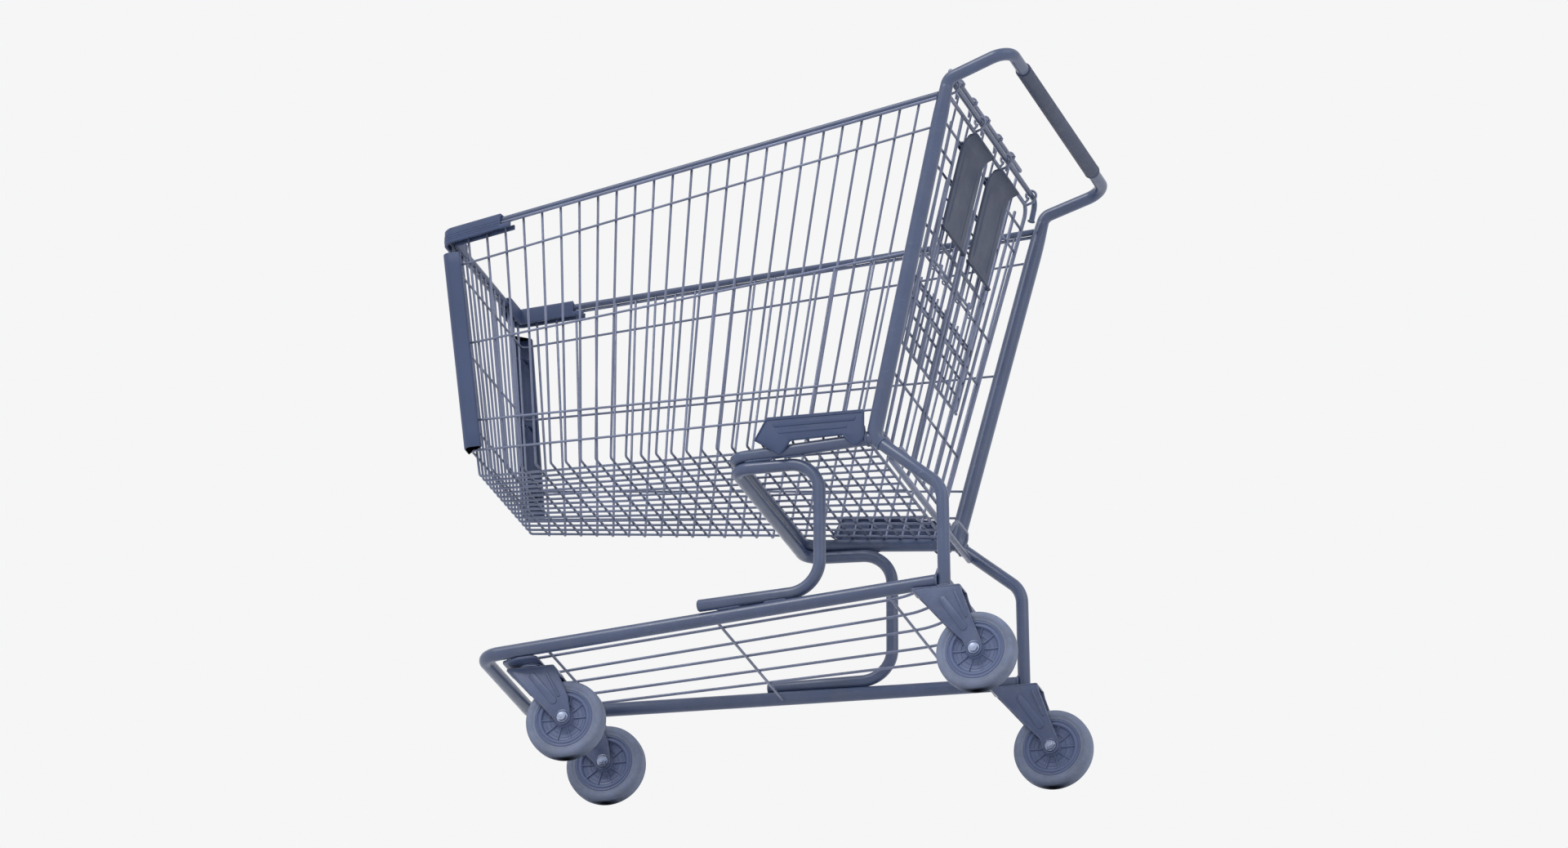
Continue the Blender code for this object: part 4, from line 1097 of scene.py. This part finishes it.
sh = Shape()
sweep(sh, [back_at(x, 1050.5) for x in (-211.0, -100.0, 0.0, 100.0, 211.0)], 0.0042, 20)
for u in (205.0, -205.0):
    sweep(sh, rounded([back_at(u, 1050.5), back_at(u, 632.5), back_at(u * 0.94, 632.5)], 0.007, 6), 0.0025, 12)
# full-length wires: each comes up behind the top rod, loops over it and ends in front
for u in (-154.0, -77.0, 0.0, 77.0, 154.0):
    run = [back_at(u, 632.0, 1.5), back_at(u, 860.0, 1.5), back_at(u, 1030.0, 1.5), back_at(u, 1050.5, 6.6)]
    for k in range(1, 8):
        a = math.pi * k / 8
        run.append(back_at(u + 0.0, 1050.5, 0.0) + BACK_N * 0.0066 * math.cos(a) + np.array((0.0, 0.0, 0.0085 * math.sin(a))))
    run += [back_at(u, 1050.5, -6.6), back_at(u, 1040.0, -3.2), back_at(u, 1028.0, -1.8)]
    sweep(sh, smooth_path(run, 3), 0.0019, 10)
# closer wires in the lower half
for u in (-179.5, -128.3, -102.7, -51.3, -25.7, 25.7, 51.3, 102.7, 128.3, 179.5):
    sweep(sh, [back_at(u, 630.0, 1.5), back_at(u, 690.0, 1.5), back_at(u, 744.0, 1.5)], 0.0019, 10)
for z, half, r in ((seatz, 207.0, 0.0022) for seatz in (912.0, 820.0, 738.0, 732.0, 711.0, 684.0, 657.0)):
    sweep(sh, [back_at(x, z, -1.9) for x in (-half, 0.0, half)], r, 10)
sweep(sh, [back_at(x, 632.5, -0.5) for x in (-209.0, 0.0, 209.0)], 0.0026, 12)
piece("seat_back_wires", sh, "wire_coat", "child_seat_back", ["seat_back"])

# ------------------------------------------------------------- seat base
SEAT_D = unit((0.0, GATE_SLOPE, 1.0))
SEAT_N = unit((0.0, -1.0, GATE_SLOPE))
seat_h = pt(0, gate_y(SEAT_HINGE_Z), SEAT_HINGE_Z)


def base_at(u, v, out=0.0):
    return seat_h + SEAT_N * (8.5 + out) * 0.001 + SEAT_D * v * 0.001 + np.array((u * 0.001, 0, 0))


sh = Shape()
ring = [base_at(-124.0, 14.2), base_at(124.0, 14.2), base_at(124.0, 145.8), base_at(-124.0, 145.8)]
pts = []
for i in range(4):
    a, b, c = ring[i - 1], ring[i], ring[(i + 1) % 4]
    arc = rounded([(a + b) / 2, b, (b + c) / 2], 0.010, 6)
    pts += arc[1:-1]
sweep(sh, pts, 0.0024, 12, closed=True)
for i in range(1, 8):
    u = -124.0 + 31.0 * i
    sweep(sh, [base_at(u, 13.6, 0.9), base_at(u, 80.0, 0.9), base_at(u, 146.4, 0.9)], 0.0017, 10)
for v in (48.0, 82.0, 114.0):
    sweep(sh, [base_at(-125.0, v, -1.1), base_at(0.0, v, -1.1), base_at(125.0, v, -1.1)], 0.0017, 10)
# hinge loops round the gate's cross wire
pivot = seat_h + GATE_N * -0.0020
for u in (-108.0, -40.0, 40.0, 108.0):
    c = pivot + np.array((u * 0.001, 0, 0))
    run = []
    for k in range(15):
        a = math.radians(118.0 - 278.0 * k / 14)
        run.append(c + SEAT_D * 0.0048 * math.sin(a) + SEAT_N * 0.0048 * math.cos(a))
    run = [base_at(u, 15.0, 0.0)] + [c + SEAT_D * 0.0075 + SEAT_N * 0.0046] + run[2:]
    sweep(sh, smooth_path(run, 2), 0.0014, 10)
piece("seat_base_wires", sh, "wire_coat", "child_seat_base", ["seat_base"])

# -------------------------------------------------- leg-opening flaps (moulded)
FLAP_D = unit((0.0, -GATE_SLOPE, -1.0))
flap_line = pt(0, gate_y(FLAP_Z), FLAP_Z)
for side, s in (("left", 1), ("right", -1)):
    x0, x1 = (18.5, 133.5) if s > 0 else (-133.5, -18.5)

    def flap_at(x, off, down):
        return flap_line + np.array((x * 0.001, 0, 0)) + GATE_N * off * 0.001 + FLAP_D * down * 0.001
    # section through the panel, from the curled grip at the top to the rolled foot
    sec = smooth_path([(25.6, -19.6, 0), (20.4, -17.4, 0), (13.6, -12.4, 0), (9.0, -5.8, 0), (7.3, 2.0, 0), (6.6, 14.0, 0),
                       (6.2, 60.0, 0), (5.9, 110.0, 0), (5.8, 136.0, 0), (6.6, 142.5, 0), (9.2, 146.6, 0), (12.6, 148.4, 0),
                       (16.0, 148.4, 0)], 5)
    sec = [np.array(p[:2]) for p in sec]
    seg = [0.0]
    for a, b in zip(sec, sec[1:]):
        seg.append(seg[-1] + float(np.linalg.norm(b - a)))
    total = seg[-1]
    nx = 46
    TH = 2.6
    rows_f, rows_b = [], []
    for i, p in enumerate(sec):
        a, b = sec[max(i - 1, 0)], sec[min(i + 1, len(sec) - 1)]
        t = unit(b - a)
        nrm = np.array((-t[1], t[0]))                # turns towards the gate's back
        if nrm[0] < 0 and abs(t[1]) > 0.5:
            nrm = -nrm
        rows_f.append((p, t))
    normals = []
    for p, t in rows_f:
        normals.append(np.array((t[1], -t[0])))
    width = x1 - x0
    sh = Shape()
    front, rear = [], []
    for i, (p, t) in enumerate(rows_f):
        nrm = normals[i]
        S = seg[i]
        end = min(S, total - S)
        fr, re = [], []
        for j in range(nx + 1):
            x = x0 + width * j / nx
            e = min(x - x0, x1 - x)
            # rounded plan corners
            pull = 0.0
            rc = 9.0
            if e < rc and end < rc:
                pull = rc - math.sqrt(max(0.0, rc * rc - (rc - e) ** 2))
            d = min(e, end + 0.001)
            thin = TH / 2 * math.sqrt(max(0.0, 1.0 - max(0.0, 1.0 - d / 1.3) ** 2))
            # two pressed channels down the panel and a shallow dish between them
            emb = 0.0
            yy = p[1]
            if 8.0 < yy < 134.0:
                fade = min(1.0, (yy - 8.0) / 10.0, (134.0 - yy) / 10.0)
                for cx in (0.17, 0.83):
                    w = abs((x - x0) / width - cx) * width
                    emb += 1.1 * fade * math.exp(-(w / 2.6) ** 4)
                w = abs((x - x0) / width - 0.5) * width
                emb -= 0.7 * fade * max(0.0, 1.0 - (w / 27.0) ** 6)
            q = p - t * 0.0
            shift = pull if S > total / 2 else -pull
            qq = p - t * (shift if abs(shift) > 0 else 0.0)
            # side hems turned towards the basket
            hem = 2.2 * max(0.0, 1.0 - e / 3.2) ** 2 if 4.0 < yy < 138.0 else 0.0
            o1 = qq + nrm * (thin + emb - hem)
            o2 = qq - nrm * (thin - emb * 0.8 + hem)
            fr.append(flap_at(x, o1[0], o1[1]))
            re.append(flap_at(x, o2[0], o2[1]))
        front.append(fr)
        rear.append(re)
    nr = len(front)
    verts = [q for r in front for q in r] + [q for r in rear for q in r]
    W = nx + 1
    off = nr * W
    faces = []
    for i in range(nr - 1):
        for j in range(nx):
            a, b, c2, d2 = i * W + j, i * W + j + 1, (i + 1) * W + j + 1, (i + 1) * W + j
            faces.append((a, b, c2, d2))
            faces.append((off + d2, off + c2, off + b, off + a))
    for j in range(nx):
        faces.append((j + 1, j, off + j, off + j + 1))
        a = (nr - 1) * W
        faces.append((a + j, a + j + 1, off + a + j + 1, off + a + j))
    for i in range(nr - 1):
        a, b = i * W, (i + 1) * W
        faces.append((a, b, off + b, off + a))
        a, b = i * W + nx, (i + 1) * W + nx
        faces.append((b, a, off + a, off + b))
    sh.add(verts, outward(verts, faces))
    # clip sleeves snapped round the gate's cross wire
    for cx in (0.24, 0.76):
        xm = x0 + width * cx
        outl = []
        for k in range(13):
            a = math.radians(-38.0 + 262.0 * k / 12)
            outl.append((7.2 * math.cos(a), -7.2 * math.sin(a)))
        for k in range(12, -1, -1):
            a = math.radians(-38.0 + 262.0 * k / 12)
            outl.append((3.9 * math.cos(a), -3.9 * math.sin(a)))
        slab(sh, [np.array(q) for q in outl], lambda q, h: flap_at(xm + h, q[0], q[1]), -13.0, 13.0, 0.5, 2)
    piece("leg_flap_" + side + "_moulded", sh, "flap", "flap_" + side, ["leg_flap_" + side], angle=50)


# ==================================================================== casters
def wheel(tag, c, body):
    o = pt(*c)
    # tread: crowned face, rounded shoulders, stepped side walls
    prof = [(-12.8, 46.5), (-13.6, 47.2), (-13.9, 48.6), (-13.7, 51.0), (-14.3, 51.9), (-14.9, 53.6), (-15.0, 56.0),
            (-14.7, 58.4), (-13.6, 60.7), (-11.6, 62.3), (-8.6, 63.1), (-4.0, 63.45), (0.0, 63.5)]
    prof = prof + [(-x, r) for x, r in prof[-2::-1]]
    sh = Shape()
    turned(sh, o, (1, 0, 0), prof, 96, closed=True)
    piece("tyre_" + tag + "_moulded", sh, "tread", body, ["tyre_" + tag], angle=40)

    # hub: rim flange, stepped dish, spoke webs, boss
    half = [(-14.4, 7.6), (-14.4, 12.2), (-13.9, 13.4), (-12.6, 14.2), (-9.4, 15.4), (-8.6, 16.8), (-8.4, 20.0),
            (-8.6, 28.0), (-9.0, 34.2), (-9.8, 35.6), (-11.2, 36.4), (-12.4, 37.2), (-12.9, 38.4), (-12.9, 40.2),
            (-12.3, 41.2), (-11.7, 42.0), (-11.9, 43.2), (-13.1, 44.0), (-13.5, 45.0), (-13.2, 46.2)]
    prof = half + [(-x, r) for x, r in half[::-1]]
    sh = Shape()
    turned(sh, o, (1, 0, 0), prof, 96, closed=True)
    for s in (1, -1):
        for k in range(10):
            a = 2 * math.pi * k / 10
            ca, sa = math.cos(a), math.sin(a)

            def web(p, h):
                # p: (radius, depth from the mid plane); h: across the web
                r, x = p
                return o + np.array((s * x, r * ca - h * sa, r * sa + h * ca)) * 0.001
            slab(sh, [np.array(q) for q in ((14.0, 7.6), (14.0, 12.0), (20.0, 10.6), (30.0, 10.4), (36.6, 11.8), (36.6, 7.6))],
                 web, -0.9, 0.9, 0.45, 2)
        for r in (23.5, 30.5):
            ring = []
            for k in range(72):
                a = 2 * math.pi * k / 72
                ring.append(o + np.array((s * 8.75, r * math.cos(a), r * math.sin(a))) * 0.001)
            sweep(sh, ring, 0.0006, 6, closed=True)
    piece("wheel_hub_" + tag + "_moulded", sh, "hub", body, ["wheel_hub_" + tag], angle=34)

    sh = Shape()
    turned(sh, o, (1, 0, 0), [(-16.2, 5.2), (-16.2, 6.5), (-15.8, 6.9), (15.8, 6.9), (16.2, 6.5), (16.2, 5.2)], 40, closed=True)
    piece("axle_sleeve_" + tag + "_turned", sh, "zinc", body, ["axle_sleeve_" + tag])


def axle(tag, c, half, s, body):
    o = pt(*c)
    ax = (s, 0, 0)
    h = half + 0.5
    sh = Shape()
    turned(sh, o, ax, [(-h - 9.6, 0.6), (-h - 9.6, 3.6), (-h - 8.8, 4.6), (-h - 7.0, 4.7), (h + 0.1, 4.7)], 32)
    hex_prism(sh, o, ax, 13.0, h + 1.2, h + 6.0, 0.8)
    turned(sh, o, ax, [(h - 0.3, 5.0), (h - 0.3, 8.6), (h + 0.1, 9.0), (h + 1.0, 9.0), (h + 1.3, 8.6), (h + 1.3, 5.0)], 36)
    turned(sh, o, ax, [(h + 5.6, 5.6), (h + 6.0, 5.2), (h + 6.15, 4.4), (h + 6.15, 0.4)], 30)
    piece("axle_bolt_" + tag + "_hex", sh, "zinc", body, ["axle_bolt_" + tag], angle=30)
    sh = Shape()
    hex_prism(sh, o, ax, 14.5, -h - 5.6, -h - 0.9, 0.8)
    turned(sh, o, ax, [(-h + 0.0, 5.4), (-h + 0.0, 8.8), (-h - 0.9, 8.9), (-h - 1.0, 8.4), (-h - 1.0, 5.4)], 36)
    turned(sh, o, ax, [(-h - 7.3, 5.2), (-h - 7.3, 6.0), (-h - 6.9, 6.5), (-h - 5.4, 6.6)], 30)
    piece("axle_nut_" + tag + "_hex", sh, "zinc", body, ["axle_nut_" + tag], angle=30)


def cheek(sh, outline, x, out, radii, boss, ribs, s):
    """One pressed side of a fork. x: its inner face; out: +1 or -1, the way it faces."""
    o2 = fillet2d(outline, radii, 6)
    slab(sh, o2, lambda p, h: pt(x + out * h, p[0], p[1]), 0.0, 3.0, 0.8, 3)
    # turned-out boss round the axle and pressed ribs
    turned(sh, pt(x, boss[0], boss[1]), (out, 0, 0),
           [(2.0, 13.2), (3.2, 12.8), (3.9, 11.6), (4.05, 10.6), (3.5, 9.9), (3.3, 9.4), (3.3, 4.0)], 48)
    for a, b, r in ribs:
        slab(sh, stadium(a, b, r, 8), lambda p, h: pt(x + out * h, p[0], p[1]), 2.4, 4.4, 1.2, 4)
    # fine raised hem along the outline
    ring = [pt(x + out * 2.9, p[0], p[1]) for p in inset2d(o2, 1.6)]
    sweep(sh, ring, 0.0009, 8, closed=True)


for side, s in (("left", 1), ("right", -1)):
    # -------------------------------------------------- rear, fixed
    wx, wy, wz = REAR_WHEEL
    cx = s * wx
    half = 17.5
    outline = [(-101, 171.7), (-21, 171.7), (-18, 158), (-2, 111), (9, 83), (13, 70), (11, 57), (1, 50.5), (-9, 53),
               (-14, 62), (-17, 76), (-42, 103), (-87, 156)]
    rad = [3, 3, 10, 30, 22, 12, 11, 11, 9, 12, 16, 40, 12]
    ribs = [((-48.0, 147.0), (-16.5, 100.0), 6.4), ((-29.0, 158.0), (-12.0, 117.0), 2.4)]
    sh = Shape()
    for out in (1, -1):
        cheek(sh, outline, cx + out * half, out, rad, (wy, wz), ribs, s)
    # top plate and front web that tie the cheeks
    tp = fillet2d([(-20.3, -100.5), (20.3, -100.5), (20.3, -21.6), (-20.3, -21.6)], 3.0, 5)
    slab(sh, tp, lambda p, h: pt(cx + p[0], p[1], h), 168.7, 171.9, 0.7)
    web = [(-97.5, 169.5), (-92.0, 166.2), (-84.0, 156.5), (-72.0, 142.0)]
    for a, b in zip(web, web[1:]):
        pass
    prof = [(-18.0, 0.0), (18.0, 0.0)]
    run = smooth_path([pt(cx, y, z) for y, z in web], 5)
    strip_f, strip_b = [], []
    P, T, S_ = path_frames(run, first=(1, 0, 0))
    for i in range(len(P)):
        nrm = np.cross(T[i], (1.0, 0.0, 0.0))
        strip_f.append([P[i] + np.array((x * 0.001, 0, 0)) + nrm * 0.0013 for x in np.linspace(-18.2, 18.2, 9)])
        strip_b.append([P[i] + np.array((x * 0.001, 0, 0)) - nrm * 0.0013 for x in np.linspace(-18.2, 18.2, 9)])
    n1, W = len(strip_f), 9
    verts = [q for r in strip_f for q in r] + [q for r in strip_b for q in r]
    faces, off = [], n1 * W
    for i in range(n1 - 1):
        for j in range(W - 1):
            a, b, c2, d2 = i * W + j, i * W + j + 1, (i + 1) * W + j + 1, (i + 1) * W + j
            faces += [(a, b, c2, d2), (off + d2, off + c2, off + b, off + a)]
    for j in range(W - 1):
        faces.append((j + 1, j, off + j, off + j + 1))
        a = (n1 - 1) * W
        faces.append((a + j, a + j + 1, off + a + j + 1, off + a + j))
    for i in range(n1 - 1):
        a, b = i * W, (i + 1) * W
        faces.append((a, b, off + b, off + a))
        a, b = i * W + W - 1, (i + 1) * W + W - 1
        faces.append((b, a, off + a, off + b))
    sh.add(verts, outward(verts, faces))
    piece("caster_fork_rear_" + side + "_pressed", sh, "caster_coat", "frame", ["caster_fork_rear_" + side],
          angle=36)
    sh = Shape()
    for y0, y1 in ((-94.0, -68.0), (-38.0, -24.0)):
        weld_seam(sh, pt(cx + s * 10.5, y0, 172.6), pt(cx + s * 10.5, y1, 172.6), 1.9)
    piece("fork_weld_rear_" + side, sh, "weld", "frame")
    wheel("rear_" + side, (cx, wy, wz), "wheel_rear_" + side)
    axle("rear_" + side, (cx, wy, wz), half + 3.0, s, "frame")

    # -------------------------------------------------- front, swivelling
    fx, fy, fz = FRONT_WHEEL
    cx = s * fx
    body = "swivel_" + side
    pad = fillet2d([np.array((s * x, y)) for x, y in ((86, -797), (140, -797), (151, -770), (154, -737), (86, -737))],
                   [6, 8, 12, 8, 6], 6)
    sh = Shape()
    slab(sh, pad, lambda p, h: pt(p[0], p[1], h), 158.2, 162.2, 0.8)
    inner = inset2d(pad, 7.0)
    slab(sh, inner, lambda p, h: pt(p[0], p[1], h), 161.8, 163.2, 0.7)
    piece("caster_pad_" + side + "_plate", sh, "caster_coat", "frame", ["caster_pad_" + side], angle=36)
    sh = Shape()
    for y0, y1 in ((-792.0, -772.0), (-762.0, -742.0)):
        k0, k1 = (y0 - TRAY_CORNER[1]) / (TRAY_REAR[1] - TRAY_CORNER[1]), (y1 - TRAY_CORNER[1]) / (TRAY_REAR[1] - TRAY_CORNER[1])
        x0_, x1_ = (TRAY_CORNER[0] + k * (TRAY_REAR[0] - TRAY_CORNER[0]) - 8.2 for k in (k0, k1))
        weld_seam(sh, pt(s * x0_, y0, 163.2), pt(s * x1_, y1, 163.4), 1.9)
    piece("pad_weld_" + side, sh, "weld", "frame")
    sh = Shape()
    o = pt(cx, SWIVEL_Y, 0)
    turned(sh, o, (0, 0, 1), [(153.4, 6.5), (153.4, 20.0), (153.9, 20.9), (154.9, 21.0), (155.2, 20.2), (155.5, 19.4),
                              (155.8, 20.2), (156.2, 21.0), (157.3, 20.9), (157.8, 20.0), (157.8, 6.5)], 56, closed=True)
    piece("swivel_race_" + side + "_pressed", sh, "zinc", body, ["swivel_race_" + side], angle=34)
    sh = Shape()
    hex_prism(sh, o, (0, 0, 1), 15.5, 142.5, 147.4, 0.9)
    turned(sh, o, (0, 0, 1), [(147.2, 5.8), (147.2, 9.0), (147.6, 9.5), (148.5, 9.5), (148.6, 9.2), (148.6, 5.8)], 40)
    turned(sh, o, (0, 0, 1), [(148.0, 6.0), (162.8, 6.0)], 32)
    turned(sh, o, (0, 0, 1), [(162.9, 5.8), (162.9, 9.2), (163.3, 9.5), (164.1, 9.5), (164.4, 9.1), (164.4, 5.8)], 40)
    hex_prism(sh, o, (0, 0, 1), 15.0, 164.2, 168.4, 0.8)
    turned(sh, o, (0, 0, 1), [(167.9, 5.4), (168.9, 5.2), (169.3, 4.4), (169.4, 1.0)], 28)
    piece("king_bolt_" + side + "_hex", sh, "zinc", "frame", ["king_bolt_" + side], angle=30)

    outline = [(-795, 153.0), (-719, 153.0), (-712, 146), (-692, 98), (-688.5, 70), (-691, 57), (-700, 50.5),
               (-710, 53), (-717, 64), (-739, 89)]
    rad = [4, 5, 10, 30, 14, 11, 11, 10, 14, 60]
    ribs = [((-750.0, 136.0), (-716.0, 92.0), 6.0), ((-727.0, 139.0), (-707.5, 100.0), 2.4)]
    sh = Shape()
    for out in (1, -1):
        cheek(sh, outline, cx + out * half, out, rad, (fy, fz), ribs, s)
    tp = fillet2d([(-20.3, -794.0), (20.3, -794.0), (20.3, -716.0), (-20.3, -716.0)], [5, 5, 3, 3], 5)
    slab(sh, tp, lambda p, h: pt(cx + p[0], p[1], h), 149.3, 152.9, 0.7)
    # curved back and front webs between the cheeks
    for web in ([(-717.5, 151.0), (-713.2, 146.5), (-707.0, 136.0), (-702.0, 130.5)],
                [(-793.0, 151.0), (-789.0, 147.0), (-776.0, 132.0), (-764.0, 118.5)]):
        run = smooth_path([pt(cx, y, z) for y, z in web], 5)
        P, T, S_ = path_frames(run, first=(1, 0, 0))
        strip_f, strip_b = [], []
        for i in range(len(P)):
            nrm = np.cross(T[i], (1.0, 0.0, 0.0))
            strip_f.append([P[i] + np.array((x * 0.001, 0, 0)) + nrm * 0.0012 for x in np.linspace(-18.2, 18.2, 9)])
            strip_b.append([P[i] + np.array((x * 0.001, 0, 0)) - nrm * 0.0012 for x in np.linspace(-18.2, 18.2, 9)])
        n1, W = len(strip_f), 9
        verts = [q for r in strip_f for q in r] + [q for r in strip_b for q in r]
        faces, off = [], n1 * W
        for i in range(n1 - 1):
            for j in range(W - 1):
                a, b, c2, d2 = i * W + j, i * W + j + 1, (i + 1) * W + j + 1, (i + 1) * W + j
                faces += [(a, b, c2, d2), (off + d2, off + c2, off + b, off + a)]
        for j in range(W - 1):
            faces.append((j + 1, j, off + j, off + j + 1))
            a = (n1 - 1) * W
            faces.append((a + j, a + j + 1, off + a + j + 1, off + a + j))
        for i in range(n1 - 1):
            a, b = i * W, (i + 1) * W
            faces.append((a, b, off + b, off + a))
            a, b = i * W + W - 1, (i + 1) * W + W - 1
            faces.append((b, a, off + a, off + b))
        sh.add(verts, outward(verts, faces))
    piece("caster_fork_front_" + side + "_pressed", sh, "caster_coat", body, ["caster_fork_front_" + side],
          angle=36)
    wheel("front_" + side, (cx, fy, fz), "wheel_front_" + side)
    axle("front_" + side, (cx, fy, fz), half + 3.0, s, body)


# ============================================================ stage and camera
me = bpy.data.meshes.new("studio_floor")
R = 400.0
me.from_pydata([(-R, -R, 0), (R, -R, 0), (R, R, 0), (-R, R, 0)], [], [(0, 1, 2, 3)])
floor = bpy.data.objects.new("studio_floor", me)
bpy.context.scene.collection.objects.link(floor)
floor.location.z = -0.0004
m = bpy.data.materials.new("pale_floor")
m.use_nodes = True
nt = m.node_tree
bsdf = nt.nodes["Principled BSDF"]
bsdf.inputs["Roughness"].default_value = 0.9
bsdf.inputs["Specular IOR Level"].default_value = 0.1
tc = nt.nodes.new("ShaderNodeTexCoord")
nz = nt.nodes.new("ShaderNodeTexNoise")
nz.inputs["Scale"].default_value = 1.3
nt.links.new(tc.outputs["Object"], nz.inputs["Vector"])
mr = nt.nodes.new("ShaderNodeMapRange")
mr.inputs["To Min"].default_value, mr.inputs["To Max"].default_value = 0.80, 0.83
nt.links.new(nz.outputs["Fac"], mr.inputs["Value"])
cc = nt.nodes.new("ShaderNodeCombineColor")
for k in range(3):
    nt.links.new(mr.outputs["Result"], cc.inputs[k])
nt.links.new(cc.outputs["Color"], bsdf.inputs["Base Color"])
# the floor is only seen from above, so that the view from low down looks through it
geo = nt.nodes.new("ShaderNodeNewGeometry")
tr = nt.nodes.new("ShaderNodeBsdfTransparent")
mx = nt.nodes.new("ShaderNodeMixShader")
nt.links.new(geo.outputs["Backfacing"], mx.inputs[0])
nt.links.new(bsdf.outputs[0], mx.inputs[1])
nt.links.new(tr.outputs[0], mx.inputs[2])
nt.links.new(mx.outputs[0], nt.nodes["Material Output"].inputs["Surface"])
me.materials.append(m)

w = bpy.data.worlds.new("studio")
bpy.context.scene.world = w
w.use_nodes = True
bg = w.node_tree.nodes["Background"]
bg.inputs["Color"].default_value = (0.93, 0.93, 0.935, 1)
bg.inputs["Strength"].default_value = 0.99


def sun(name, direction, power, angle, tint=(1, 1, 1)):
    light = bpy.data.lights.new(name, "SUN")
    light.energy = power
    light.angle = math.radians(angle)
    light.color = tint
    ob = bpy.data.objects.new(name, light)
    ob.rotation_mode = "QUATERNION"
    ob.rotation_quaternion = Vector(direction).normalized().to_track_quat("-Z", "Y")
    bpy.context.scene.collection.objects.link(ob)
    return ob


sun("key", (-0.75, 0.35, -0.85), 1.25, 22)
sun("fill", (-0.35, -0.80, -0.55), 0.45, 40)
sun("back", (0.8, 0.35, -0.35), 0.35, 40)

# the viewing angle: low on the trolley's left, looking up at it through a long lens
AZ, EL, DIST, FOCAL = math.radians(106.0317706), math.radians(-21.3643109), 17.256756, 13500.0
back = Vector((math.sin(AZ) * math.cos(EL), -math.cos(AZ) * math.cos(EL), math.sin(EL)))
aim = Vector((0.202003695, -0.318402868 + AXLE_Y * 0.001, 0.487007632))
cam_data = bpy.data.cameras.new("camera")
cam = bpy.data.objects.new("camera", cam_data)
bpy.context.scene.collection.objects.link(cam)
cam_data.sensor_width = 36.0
cam_data.lens = FOCAL * 36.0 / 1920.0
cam_data.clip_start, cam_data.clip_end = 0.5, 900.0
cam.location = aim + back * DIST
cam.rotation_mode = "QUATERNION"
cam.rotation_quaternion = (-back).to_track_quat("-Z", "Y")
bpy.context.scene.camera = cam
bpy.context.scene.view_settings.view_transform = "Standard"
bpy.context.scene.view_settings.look = "None"

for name, ob in NODES.items():
    if not ob.hide_render:
        ob.data.materials.clear()
        ob.data.materials.append(MAT["tube_coat"])
